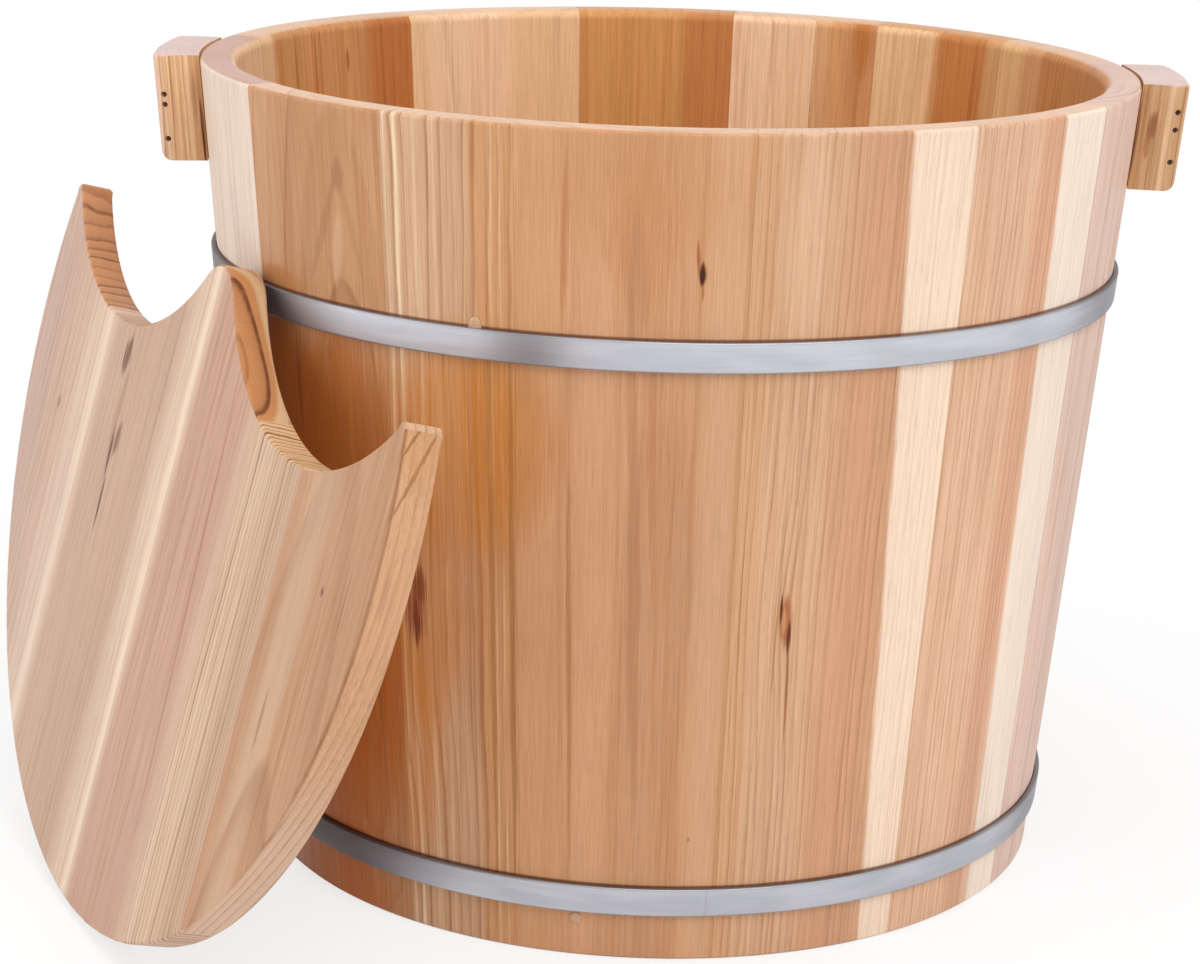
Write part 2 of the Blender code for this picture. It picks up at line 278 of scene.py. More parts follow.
STAVES = (
    Timber(
        heart=(0.525, 0.275, 0.135),
        seed=1.3,
        pith=(16, -15.5),
        lean=(0.0, 0.15),
        rings=8.5,
        lines=0.5,
        wobble=1.1,
        bands=(Band(-38, -20, (0.55, 0.295, 0.155), 5.0),),
        marks=(
            # The next four marks are redder heartwood with painted shade, where the lid shades the wall and
            # its foot
            Mark(0, 118, 74, 126, RED_HEART_AND_SHADE, 0.9),
            Mark(-25, 212, 45, 46, RED_HEART_AND_SHADE, 0.9),
            Mark(12, 212, 45, 46, (0.43, 0.135, 0.025), 0.8),
            Mark(-10, 6, 48, 26, RED_HEART_AND_SHADE, 0.85),
            Mark(16.5, 312, 4.0, 9, (0.34, 0.145, 0.065), 0.6, crumbly=1.2),
            Mark(7.5, 291, 3.0, 28, (0.36, 0.155, 0.072), 0.5, drift=0.38),
            Mark(22.5, 291, 2.4, 27, (0.39, 0.175, 0.082), 0.42, drift=-0.24),
            Mark(14.5, 283, 4.6, 18, (0.63, 0.38, 0.225), 0.5, drift=0.1),
            Mark(-25, 264, 24, 7, STAIN, 0.65, crumbly=1.0),
            Mark(6.5, 240, 2.2, 5, KNOT_RED, 0.7),
            Mark(-14, 226, 1.6, 26, (0.27, 0.07, 0.01), 0.6),
            Mark(17, 208, 1.8, 34, (0.50, 0.20, 0.04), 0.6),
            Mark(25, 90, 0.9, 60, LINE_BROWN, 0.7, drift=-0.05),
        ),
    ),
    Timber(
        heart=(0.635, 0.395, 0.245),
        seed=2.1,
        pith=(-240, 30),
        rings=4.6,
        lines=0.7,
        hairs=0.5,
        bands=(
            Band(-28.5, -24.5, (0.60, 0.35, 0.20), 0.8),
            Band(-25.6, -24.3, (0.81, 0.60, 0.40), 0.4),
            Band(-21.4, -19.4, (0.81, 0.60, 0.40), 0.5),
            Band(-12.6, -10.8, (0.75, 0.52, 0.325), 0.6),
            Band(-4.4, -2.9, (0.70, 0.46, 0.28), 0.6),
            Band(-2.0, 9.0, (0.58, 0.345, 0.205), 3.0),
            Band(10, 28, (0.575, 0.295, 0.132), 3.0),
            Band(17.6, 18.6, (0.66, 0.40, 0.22), 0.4),
            Band(21.2, 22.0, (0.66, 0.40, 0.22), 0.4),
        ),
        marks=(
            # The next four marks are painted shade along the lid's edge, warm from the light the lid throws
            # back
            Mark(4, 212, 58, 56, PAINTED_WARM_SHADE, 0.6),
            Mark(-16, 140, 32, 62, PAINTED_WARM_SHADE, 0.5),
            Mark(-26, 80, 26, 72, PAINTED_WARM_SHADE, 0.45),
            Mark(20, 212, 16, 60, (0.42, 0.145, 0.020), 0.35),
            Mark(25.0, 150, 1.5, 190, (0.36, 0.150, 0.050), 0.75, crumbly=1.2),
            Mark(16.5, 160, 1.8, 180, (0.40, 0.175, 0.055), 0.75, crumbly=1.2),
            Mark(8.1, 150, 1.3, 150, (0.38, 0.170, 0.065), 0.55, crumbly=1.2),
            Mark(0.5, 150, 0.9, 150, (0.40, 0.190, 0.075), 0.4, crumbly=1.2),
            Mark(-19.0, 143, 6.5, 21, BARK, 1.0, bends=True, crumbly=2.6),
            Mark(-18.4, 135, 2.4, 12, (0.17, 0.040, 0.016), 0.75, crumbly=2.4),
            Mark(-15.5, 151, 3.2, 10, (0.22, 0.065, 0.027), 0.85, crumbly=2.4),
        ),
    ),
    Timber(
        heart=(0.560, 0.298, 0.158),
        seed=3.7,
        pith=(6, 70),
        lean=(0.02, 0.012),
        rings=9.0,
        lines=0.16,
        hairs=0.06,
        bands=(
            Band(-44, -26, (0.575, 0.305, 0.155), 3.0),
            Band(-20, -6, (0.575, 0.308, 0.168), 5.0),
            Band(28, 42, (0.585, 0.330, 0.185), 4.0),
            Band(40.6, 44, (0.52, 0.265, 0.125), 0.6),
        ),
        marks=(
            Mark(0, 318, 48, 38, (0.50, 0.245, 0.110), 0.55),
            # Painted shade along the lid's edge, where the warm zone reaches this stave
            Mark(-44, 216, 24, 50, (0.46, 0.17, 0.030), 0.55),
            Mark(23.4, 293, 0.9, 8.0, KNOT_RED, 0.9, drift=-0.05),
            Mark(25.2, 286.5, 1.9, 6.0, KNOT, 1.0),
            Mark(25.3, 286.0, 1.2, 4.2, (0.05, 0.012, 0.004), 1.0),
            Mark(25.6, 279.5, 0.7, 4.0, KNOT_RED, 0.8),
            Mark(4, 300, 15, 40, (0.49, 0.215, 0.085), 0.45, crumbly=3.0),
            Mark(-24.0, 300, 1.9, 40, (0.42, 0.175, 0.065), 0.65, drift=0.02),
            Mark(-21.3, 130, 1.3, 120, (0.40, 0.170, 0.065), 0.75, drift=-0.008, crumbly=1.0),
            Mark(3.7, 165, 3.2, 130, (0.40, 0.190, 0.090), 0.62, drift=-0.0245, crumbly=1.0),
            Mark(9.9, 210, 2.2, 66, (0.43, 0.185, 0.080), 0.55, drift=-0.03, crumbly=1.0),
            Mark(2.0, 283, 6.0, 36, SMUDGE, 0.35),
            Mark(29.5, 54, 0.7, 1.2, KNOT_RED, 0.8),
        ),
    ),
    Timber(
        heart=(0.630, 0.378, 0.228),
        seed=4.9,
        pith=(-190, 45),
        rings=3.1,
        lines=0.62,
        hairs=0.5,
        bands=(
            Band(-44, -34, (0.600, 0.335, 0.180), 1.6),
            Band(-6, 24, (0.562, 0.295, 0.168), 9.0),
            Band(20.7, 48, SAPWOOD, 1.3, grain=0.35, drift=-0.035),
        ),
        marks=(
            Mark(-22, 302, 9.0, 60, (0.69, 0.45, 0.285), 0.5, crumbly=1.2),
            Mark(-20.6, 147, 3.6, 13, KNOT_RED, 0.85, bends=True),
            Mark(-21.4, 147, 1.4, 7, (0.52, 0.24, 0.11), 0.8),
            Mark(-22.8, 152, 0.8, 8, KNOT, 0.9),
            Mark(-18.9, 140, 1.3, 9, KNOT, 0.95),
            Mark(-18.2, 116, 0.8, 26, LINE_BROWN, 0.95, drift=-0.02),
            Mark(-24.5, 140, 0.6, 36, LINE_BROWN, 0.5, drift=0.02),
        ),
    ),
    Timber(
        heart=(0.69, 0.435, 0.290),
        seed=5.4,
        pith=(-260, 70),
        rings=2.4,
        lines=0.52,
        hairs=0.5,
        bands=(
            Band(-4, 9.5, (0.61, 0.33, 0.205), 3.0),
            Band(11.9, 44, (0.80, 0.675, 0.57), 1.3, grain=0.3, drift=-0.0185),
        ),
    ),
    Timber(
        heart=(0.67, 0.475, 0.395),
        seed=6.8,
        pith=(20, 60),
        lean=(0.0, 0.02),
        rings=6.0,
        lines=0.28,
        end=RIM_PINK,
    ),
    Timber(heart=(0.535, 0.245, 0.088), seed=7.2, pith=(-150, 40), rings=4.5, lines=0.3, end=RIM_PINK),
    Timber(
        heart=(0.540, 0.238, 0.078),
        seed=8.5,
        pith=(-170, 60),
        rings=3.6,
        lines=0.3,
        hairs=0.25,
        bands=(
            Band(3, 44, (0.64, 0.335, 0.155), 4.0),
            Band(18, 44, (0.74, 0.45, 0.205), 4.0),
        ),
    ),
    Timber(
        heart=(0.78, 0.505, 0.275),
        seed=9.1,
        pith=(-200, 20),
        rings=4.4,
        lines=0.3,
        hairs=0.25,
        bands=(
            Band(-44, 4, (0.50, 0.180, 0.038), 5.0),
            Band(-44, -28, (0.60, 0.33, 0.14), 3.0),
        ),
        marks=(Mark(-22, 300, 2.0, 50, (0.36, 0.11, 0.02), 0.5),),
        end=RIM_BROWN,
    ),
    Timber(
        heart=(0.87, 0.58, 0.38),
        seed=10.6,
        pith=(-29, -34),
        lean=(0.0, 0.03),
        rings=5.0,
        lines=0.3,
        bands=(
            Band(-44, 14, (0.80, 0.52, 0.315), 8.0),
            Band(-44, -4.5, (0.68, 0.38, 0.172), 1.0),
            Band(-44, -12, (0.63, 0.31, 0.125), 3.0),
            Band(-44, -22, (0.565, 0.26, 0.105), 4.0),
        ),
        marks=(
            Mark(-4.6, 170, 0.7, 200, LINE_BROWN, 0.75),
            Mark(-30, 336, 7.0, 30, (0.46, 0.16, 0.03), 0.85),
            Mark(-29, 300, 1.4, 22, (0.46, 0.17, 0.04), 0.5),
        ),
    ),
    Timber(
        heart=(0.600, 0.288, 0.095),
        seed=11.9,
        pith=(190, 30),
        rings=6.5,
        lines=0.3,
        hairs=0.25,
        bands=(
            Band(-40, -14, (0.51, 0.195, 0.060), 2.0),
            Band(34, 42, (0.56, 0.245, 0.075), 2.0),
        ),
        end=RIM_BROWN,
    ),
    Timber(
        heart=(0.84, 0.56, 0.360),
        seed=12.4,
        pith=(4, -60),
        lean=(0.0, 0.015),
        rings=8.0,
        lines=0.18,
        hairs=0.12,
        bands=(
            Band(34, 54, (0.775, 0.505, 0.285), 4.0),
            Band(-54, -8, (0.740, 0.465, 0.255), 7.0),
        ),
        marks=(
            Mark(22, 250, 0.8, 120, SMUDGE, 0.35),
            Mark(8, 250, 0.7, 120, SMUDGE, 0.25),
        ),
    ),
    Timber(
        heart=(0.605, 0.280, 0.106),
        seed=13.3,
        pith=(200, 40),
        rings=5.0,
        lines=0.4,
        hairs=0.4,
        bands=(Band(-42, -9, (0.50, 0.168, 0.042), 5.0),),
        marks=(
            Mark(6, 322, 1.8, 7, (0.32, 0.10, 0.02), 0.8),
            Mark(30, 300, 1.5, 50, (0.36, 0.12, 0.025), 0.7),
        ),
    ),
    Timber(
        heart=(0.56, 0.265, 0.098),
        seed=14.7,
        pith=(-120, 40),
        rings=4.0,
        lines=0.3,
        bands=(Band(9, 30, (0.73, 0.465, 0.25), 4.0),),
        marks=(Mark(-12, 305, 1.8, 40, (0.38, 0.13, 0.03), 0.7),),
    ),
    Timber(heart=(0.70, 0.46, 0.265), seed=15.2, pith=(-160, 40), rings=5.0, lines=0.3, end=RIM_ROSE),
    Timber(
        heart=(0.77, 0.62, 0.52),
        seed=16.6,
        pith=(0, 80),
        lean=(0.0, 0.02),
        rings=9.0,
        lines=0.08,
        hairs=0.08,
        # Redder heartwood with painted shade at the foot, where the lid shades it
        marks=(Mark(18, 6, 40, 30, RED_HEART_AND_SHADE, 0.8),),
        end=RIM_ROSE,
    ),
)

LID_END = (0.49, 0.215, 0.085)
LID_FOOT = (0.60, 0.395, 0.275)
LID_BOARDS = (
    Timber(
        heart=(0.60, 0.410, 0.315),
        seed=21.3,
        pith=(-290, 20),
        rings=6.5,
        lines=0.30,
        hairs=0.35,
        bands=(
            Band(-206, -172, (0.565, 0.380, 0.300), 6.0),
            Band(-140, -90, (0.69, 0.51, 0.39), 12.0),
            Band(-119, -90, (0.77, 0.59, 0.455), 3.0, through=0.7),
        ),
        marks=(
            Mark(-154, -33, 2.4, 4.0, SMUDGE, 0.9),
            Mark(-182, 0, 1.4, 60, SMUDGE, 0.35),
            Mark(-176, -20, 1.2, 80, SMUDGE, 0.35),
        ),
        end=(0.545, 0.255, 0.112),
        end_lines=1.0,
        foot=LID_FOOT,
    ),
    Timber(
        heart=(0.55, 0.360, 0.256),
        seed=22.8,
        pith=(-250, 70),
        rings=5.2,
        lines=0.24,
        hairs=0.35,
        bands=(
            Band(-118, -103, (0.66, 0.475, 0.355), 4.0, through=0.7),
            Band(-104, -80, (0.555, 0.365, 0.260), 4.0, through=0.75),
            Band(-60, -34, (0.54, 0.345, 0.238), 8.0),
            Band(-24, 20, (0.69, 0.505, 0.370), 9.0),
            Band(-6, 20, (0.80, 0.62, 0.47), 3.0),
        ),
        marks=(
            Mark(-82.5, 8, 5.4, 10, (0.18, 0.070, 0.035), 0.95, drift=0.12, crumbly=3.2),
            Mark(-70, -26, 3.8, 10, (0.23, 0.100, 0.055), 0.8, drift=0.12, crumbly=3.2),
            Mark(-75, -33, 1.9, 14, (0.15, 0.06, 0.035), 1.0, drift=-0.05, crumbly=1.2),
            Mark(-72.5, -55, 1.8, 15, (0.15, 0.06, 0.035), 1.0, drift=-0.04, crumbly=1.2),
            Mark(-77, -14, 4.0, 24, SMUDGE, 0.45, drift=0.1),
        ),
        end=LID_END,
        end_lines=0.8,
        foot=LID_FOOT,
    ),
    Timber(
        heart=(0.54, 0.326, 0.238),
        seed=23.5,
        pith=(43, -2),
        lean=(-0.071, 0.0),
        rings=7.5,
        lines=0.12,
        hairs=0.25,
        oval=0.42,
        wobble=0.3,
        bands=(
            Band(-8, 4, (0.68, 0.485, 0.355), 4.0),
            Band(62, 90, (0.605, 0.40, 0.285), 5.0),
        ),
        marks=(
            Mark(51, -60, 1.0, 130, LINE_BROWN, 0.6, drift=-0.071),
            Mark(25, -60, 0.9, 150, SMUDGE, 0.5),
        ),
        end=(0.465, 0.200, 0.072),
        end_lines=1.2,
        foot=LID_FOOT,
        core=15.5,
        rind=(0.60, 0.395, 0.220),
    ),
    Timber(
        heart=(0.66, 0.470, 0.335),
        seed=24.1,
        pith=(-130, 40),
        rings=3.1,
        lines=0.95,
        hairs=0.4,
        bands=(Band(101, 140, (0.58, 0.375, 0.250), 7.0),),
        end=(0.60, 0.385, 0.205),
        end_lines=1.7,
        foot=LID_FOOT,
    ),
    Timber(
        heart=(0.52, 0.293, 0.168),
        seed=25.9,
        pith=(160, 190),
        lean=(0.0, 0.03),
        rings=3.6,
        lines=0.5,
        hairs=0.4,
        bands=(
            Band(110, 129, (0.51, 0.265, 0.155), 1.0),
            Band(136, 158, (0.58, 0.365, 0.235), 6.0),
        ),
        marks=(
            Mark(145, -70, 1.4, 16, SMUDGE, 0.9),
            Mark(168, -12, 1.6, 2.4, KNOT, 0.75),
            Mark(168, -62, 1.0, 40, SMUDGE, 0.7),
            Mark(188, -10, 1.0, 16, SMUDGE, 0.9),
            Mark(9.0, 52, 9.0, 20, (0.50, 0.255, 0.115), 0.55, on_edge=True),
            Mark(7.0, 43, 1.2, 22, LINE_BROWN, 0.8, drift=0.39, crumbly=1.4, on_edge=True),
            Mark(4.0, 54, 1.0, 11, LINE_BROWN, 0.8, drift=0.54, crumbly=1.4, on_edge=True),
        ),
        end=(0.56, 0.345, 0.205),
        end_lines=0.6,
        foot=LID_FOOT,
        edge=(0.60, 0.335, 0.185),
    ),
)

# An ear is described from the wall outwards, so that its front end shows its stripes
EAR_END = (0.585, 0.435, 0.41)
EARS = {
    "left_ear": Timber(
        heart=(0.77, 0.50, 0.30),
        seed=31.2,
        pith=(-60, 20),
        rings=3.4,
        lines=0.8,
        hairs=0.7,
        bands=(
            Band(-2, 5.0, (0.58, 0.32, 0.155), 1.5),
            Band(8.6, 10.4, (0.58, 0.34, 0.17), 0.8),
            Band(15.0, 16.6, (0.80, 0.58, 0.38), 0.6),
            Band(17.4, 24, (0.70, 0.46, 0.345), 1.0),
        ),
        marks=(
            Mark(1.6, 308, 0.9, 18, KNOT, 0.85, crumbly=1.5),
            Mark(3.8, 322, 0.9, 14, SMUDGE, 0.7),
        ),
        end=EAR_END,
        end_lines=0.15,
    ),
    "right_ear": Timber(
        heart=(0.56, 0.335, 0.175),
        seed=32.7,
        pith=(-50, -30),
        rings=3.6,
        lines=0.75,
        hairs=0.7,
        bands=(
            Band(-2, 4.0, (0.49, 0.27, 0.125), 1.2),
            Band(12, 14.5, (0.68, 0.46, 0.28), 1.0),
        ),
        marks=(
            Mark(6.8, 323, 3.2, 7.5, (0.26, 0.10, 0.035), 0.9, drift=0.08, crumbly=2.4),
            Mark(5.6, 314, 1.8, 6.0, KNOT_RED, 0.7, crumbly=2.4),
            Mark(8.6, 318, 0.5, 24, SMUDGE, 0.8),
            Mark(0.8, 318, 0.7, 26, KNOT, 0.7, crumbly=1.2),
        ),
        end=EAR_END,
        end_lines=0.15,
    ),
}

BOTTOM_TONES = (
    ((0.60, 0.36, 0.21), (-200, 40)),
    ((0.66, 0.40, 0.25), (10, 60)),
    ((0.57, 0.31, 0.17), (-160, 50)),
    ((0.68, 0.44, 0.29), (180, 40)),
    ((0.60, 0.34, 0.20), (60, 70)),
)
BOTTOM_BOARDS = tuple(
    Timber(heart=heart, seed=40.0 + i, pith=pith, rings=4.2, lines=0.5)
    for i, (heart, pith) in enumerate(BOTTOM_TONES)
)


# Sockets of the Mix node that colours use; their names repeat for each kind of data
MIX_SHARE = 0
MIX_FIRST = 6
MIX_SECOND = 7
MIX_COLOUR = 2


class Val:
    """A socket that Python arithmetic works on; each operation adds its Math node."""

    def __init__(self, nodes, socket):
        self.nodes = nodes
        self.socket = socket

    def math(self, operation, *others):
        return self.nodes.node("ShaderNodeMath", {"operation": operation}, (self, *others))

    def __add__(self, other):
        return self.math("ADD", other)

    __radd__ = __add__

    def __mul__(self, other):
        return self.math("MULTIPLY", other)

    __rmul__ = __mul__

    def __sub__(self, other):
        return self.math("SUBTRACT", other)

    def __rsub__(self, other):
        return self.nodes.node("ShaderNodeMath", {"operation": "SUBTRACT"}, (other, self))

    def __truediv__(self, other):
        return self.math("DIVIDE", other)

    def __abs__(self):
        return self.math("ABSOLUTE")

    def ranged(self, low, high):
        """From 0 and 1 to low and high."""
        return self * (high - low) + low


class Nodes:
    """A node tree under construction."""

    def __init__(self, tree):
        self.tree = tree

    def node(self, kind, settings=None, inputs=(), output=0):
        """Add a node: its settings first, then values or links for its sockets by place or by name."""
        made = self.tree.nodes.new(kind)
        for key, value in (settings or {}).items():
            setattr(made, key, value)
        pairs = inputs.items() if isinstance(inputs, dict) else enumerate(inputs)
        for key, value in pairs:
            self.feed(made.inputs[key], value)
        return Val(self, made.outputs[output])

    def feed(self, socket, value):
        if isinstance(value, Val):
            self.tree.links.new(value.socket, socket)
        elif isinstance(value, tuple) and socket.type == "RGBA":
            socket.default_value = (*value, 1.0)
        else:
            socket.default_value = value

    def step(self, low, high, value):
        """Zero at low, one at high, smooth between."""
        settings = {"interpolation_type": "SMOOTHSTEP"}
        inputs = {"Value": value, "From Min": low, "From Max": high}
        return self.node("ShaderNodeMapRange", settings, inputs)

    def between(self, low, high, soft, value):
        """One between two values, zero outside them, with soft edges."""
        return self.step(low - soft, low + soft, value) - self.step(high - soft, high + soft, value)

    def noise(self, x, y, z, detail=2.0, rough=0.5):
        """Cloudy values from 0 to 1 over three coordinates."""
        spot = self.node("ShaderNodeCombineXYZ", None, (x, y, z))
        inputs = {"Vector": spot, "Scale": 1.0, "Detail": detail, "Roughness": rough}
        return self.node("ShaderNodeTexNoise", None, inputs)

    def chance(self, value):
        """A random number from 0 to 1 for each whole number."""
        return self.node("ShaderNodeTexWhiteNoise", {"noise_dimensions": "1D"}, {"W": value})

    def mix(self, share, first, second, blend="MIX"):
        """Colour that goes from first to second."""
        settings = {"data_type": "RGBA", "blend_type": blend}
        inputs = {MIX_SHARE: share, MIX_FIRST: first, MIX_SECOND: second}
        return self.node("ShaderNodeMix", settings, inputs, output=MIX_COLOUR)

    def shade(self, share, colour, tint):
        """Colour multiplied by a tint, by a share."""
        return self.mix(share, colour, tint, "MULTIPLY")

    def scaled(self, colour, amount):
        return self.node("ShaderNodeVectorMath", {"operation": "SCALE"}, {0: colour, "Scale": amount})

    def dot(self, vector, axis):
        settings = {"operation": "DOT_PRODUCT"}
        return self.node("ShaderNodeVectorMath", settings, (vector, tuple(axis)), output=1)

    def length(self, vector):
        return self.node("ShaderNodeVectorMath", {"operation": "LENGTH"}, (vector,), output=1)

    def away(self, vector, point):
        return self.node("ShaderNodeVectorMath", {"operation": "SUBTRACT"}, (vector, tuple(point)))

    def position(self):
        return self.node("ShaderNodeTexCoord", output="Object")

    def spread_out(self, scale):
        """The three coordinates of the frame, times a scale."""
        spot = self.position()
        return tuple(self.dot(spot, axis) for axis in Matrix.Scale(scale, 3))

    def facing(self, axis):
        """How squarely the surface faces along an axis, from -1 to 1."""
        return self.dot(self.node("ShaderNodeTexCoord", output="Normal"), axis)

    def bump(self, height, distance, strength):
        inputs = {"Height": height, "Distance": distance, "Strength": strength}
        return self.node("ShaderNodeBump", None, inputs)

    def plain_sight(self):
        """One where the camera, a reflection or a view through glass looks, zero for other light."""
        path = self.tree.nodes.new("ShaderNodeLightPath")
        seen = Val(self, path.outputs["Is Camera Ray"])
        for ray in ("Is Glossy Ray", "Is Transmission Ray"):
            seen = seen.math("MAXIMUM", Val(self, path.outputs[ray]))
        return seen


class Paint(Nodes):
    """One material on the Principled shader."""

    def __init__(self, name):
        self.material = bpy.data.materials.new(name)
        self.material.use_nodes = True
        super().__init__(self.material.node_tree)
        self.shader = self.tree.nodes["Principled BSDF"]

    def put(self, **sockets):
        """Set or link sockets of the shader, named with underscores for spaces."""
        for key, value in sockets.items():
            self.feed(self.shader.inputs[key.replace("_", " ")], value)
        return self.material


def round_the_tub(bearing):
    """Places on a stave: across it along the wall, deep from its outside, along its height."""
    out = Vector((math.cos(bearing), math.sin(bearing), 0))
    side = Vector((-math.sin(bearing), math.cos(bearing), 0))
    mean = (RIM_RADIUS + BASE_RADIUS) / 2 / MM

    def places(paint):
        spot = paint.away(paint.position(), TUB_AXIS)
        radial = paint.dot(spot, out / MM)
        sideways = paint.dot(spot, side / MM)
        along = paint.dot(spot, (0, 0, 1 / MM))
        across = sideways.math("ARCTAN2", radial) * mean
        radius = (radial * radial + sideways * sideways).math("SQRT")
        deep = BASE_RADIUS / MM + WALL_SLOPE * along - radius
        return across, deep, along

    return places


def out_from_the_wall(bearing):
    """Places on an ear: across it from the wall outwards, deep round the tub, along its height."""
    stave_places = round_the_tub(bearing)

    def places(paint):
        across, deep, along = stave_places(paint)
        return 0 - deep, across, along

    return places


def on_a_board(centre, across, deep, along):
    """Places on a flat board with its own three axes."""

    def places(paint):
        spot = paint.away(paint.position(), centre)
        return tuple(paint.dot(spot, axis / MM) for axis in (across, deep, along))

    return places


@dataclass
class Figure:
    """Cloudiness drawn out along the fibres: cycles per millimetre across and along, and its fineness.

    A board's seed moves it across the board, or deep into it.
    """

    across: float
    along: float
    detail: float = 2.0
    rough: float = 0.5
    seed_deep: bool = False


WANDER = Figure(0.022, 0.0045)
CURL = Figure(0.16, 0.018, seed_deep=True)
STREAK = Figure(0.42, 0.009)
PATCH = Figure(0.30, 0.016, seed_deep=True)
HAIR = Figure(1.05, 0.011)
FIBRE = Figure(1.7, 0.035, detail=3.0, rough=0.6)
PORE = Figure(3.0, 0.10, detail=1.0, seed_deep=True)
SEED_STRIDE = 7.3
HAIR_SHOWS = (0.52, 0.74)
PORE_SHOWS = (0.58, 0.76)
STREAK_SHOWS = (0.40, 0.70)
STREAK_COVER = 0.55

# How far the rings stray, in millimetres, and how unevenly they grew, in rings
RING_SWAY = 9.0
RING_DIP = 6.0
RING_CURL = 1.6
RING_FUZZ = 0.6
RING_DRIFT = 1.4
RING_PACE = 0.7
RING_UNEVEN = 1.6

# A ring's late wood: where its soft and its hard line start and end, and how strong the lines are
SOFT_START = 0.05
HARD_START = 0.66
LINE_END = 0.90
SOFT_SHARE = 0.45
END_SOFT_SHARE = 0.25
LINE_BY_AGE = (0.25, 1.0)
LINE_BY_PATCH = (0.2, 1.7)
END_LINE_BY_AGE = (0.3, 1.0)
END_LINE_BY_PATCH = (0.4, 1.6)

# Marks fade from their core to their outer edge, and rings are pushed aside by a knot
MARK_CORE = 0.3
MARK_EDGE = 1.1
MARK_CURL = 1.5
MARK_BY_PATCH = (0.65, 1.35)
KNOT_FADE = -0.09
KNOT_PUSH = 0.9

# Bands, which drift about half the tub's height
BAND_CURL = 2.0
BAND_COVER = 0.92
HALF_HEIGHT = TUB_HEIGHT / 2 / MM

# The edge below a show face with its arris, in millimetres deep, and the core of a sawn end
EDGE_DEEP = (0.6, 2.0)
EDGE_COVER = 0.85
ARRIS_DEEP = (0.3, 1.4)
ARRIS_SOFT = 0.4
ARRIS_SHADE = 0.55
CORE_SOFT = 1.0

# Tone of the sanded face and of the sawn ends
FACE_TONE = 1.06
FACE_FIBRE = 0.55
FACE_PORE = 0.14
HAIR_SHADE = 0.6
CLOUDED = 0.30
END_TONE = 1.08
END_FIBRE = 0.45
END_PORE = 0.15
END_COVER = 0.95
FOOT_TURN = (-0.1, 0.1)
STAVE_END = (0.70, 0.95)
LID_SAWN_END = (0.22, 0.55)

# A dark line along the wall over each hoop, in millimetres, on the outside of the wall only
HOOP_LINE_BELOW = 1.0
HOOP_LINE_ABOVE = 0.9
HOOP_LINE_SOFT = 0.4
HOOP_LINE_SHADE = 0.85
OUTSIDE_DEEP = (6.0, 3.0)

# Satin seal
SEAL_ROUGH = 0.46
SEAL_SPECULAR = 0.22
FIBRE_ROUGH = 0.14
LINE_ROUGH = 0.06
FIBRE_RISE = 0.6
LINE_RISE = 0.25
PORE_SINK = 0.5
GRAIN_RELIEF = 0.00025
GRAIN_BUMP = 0.35


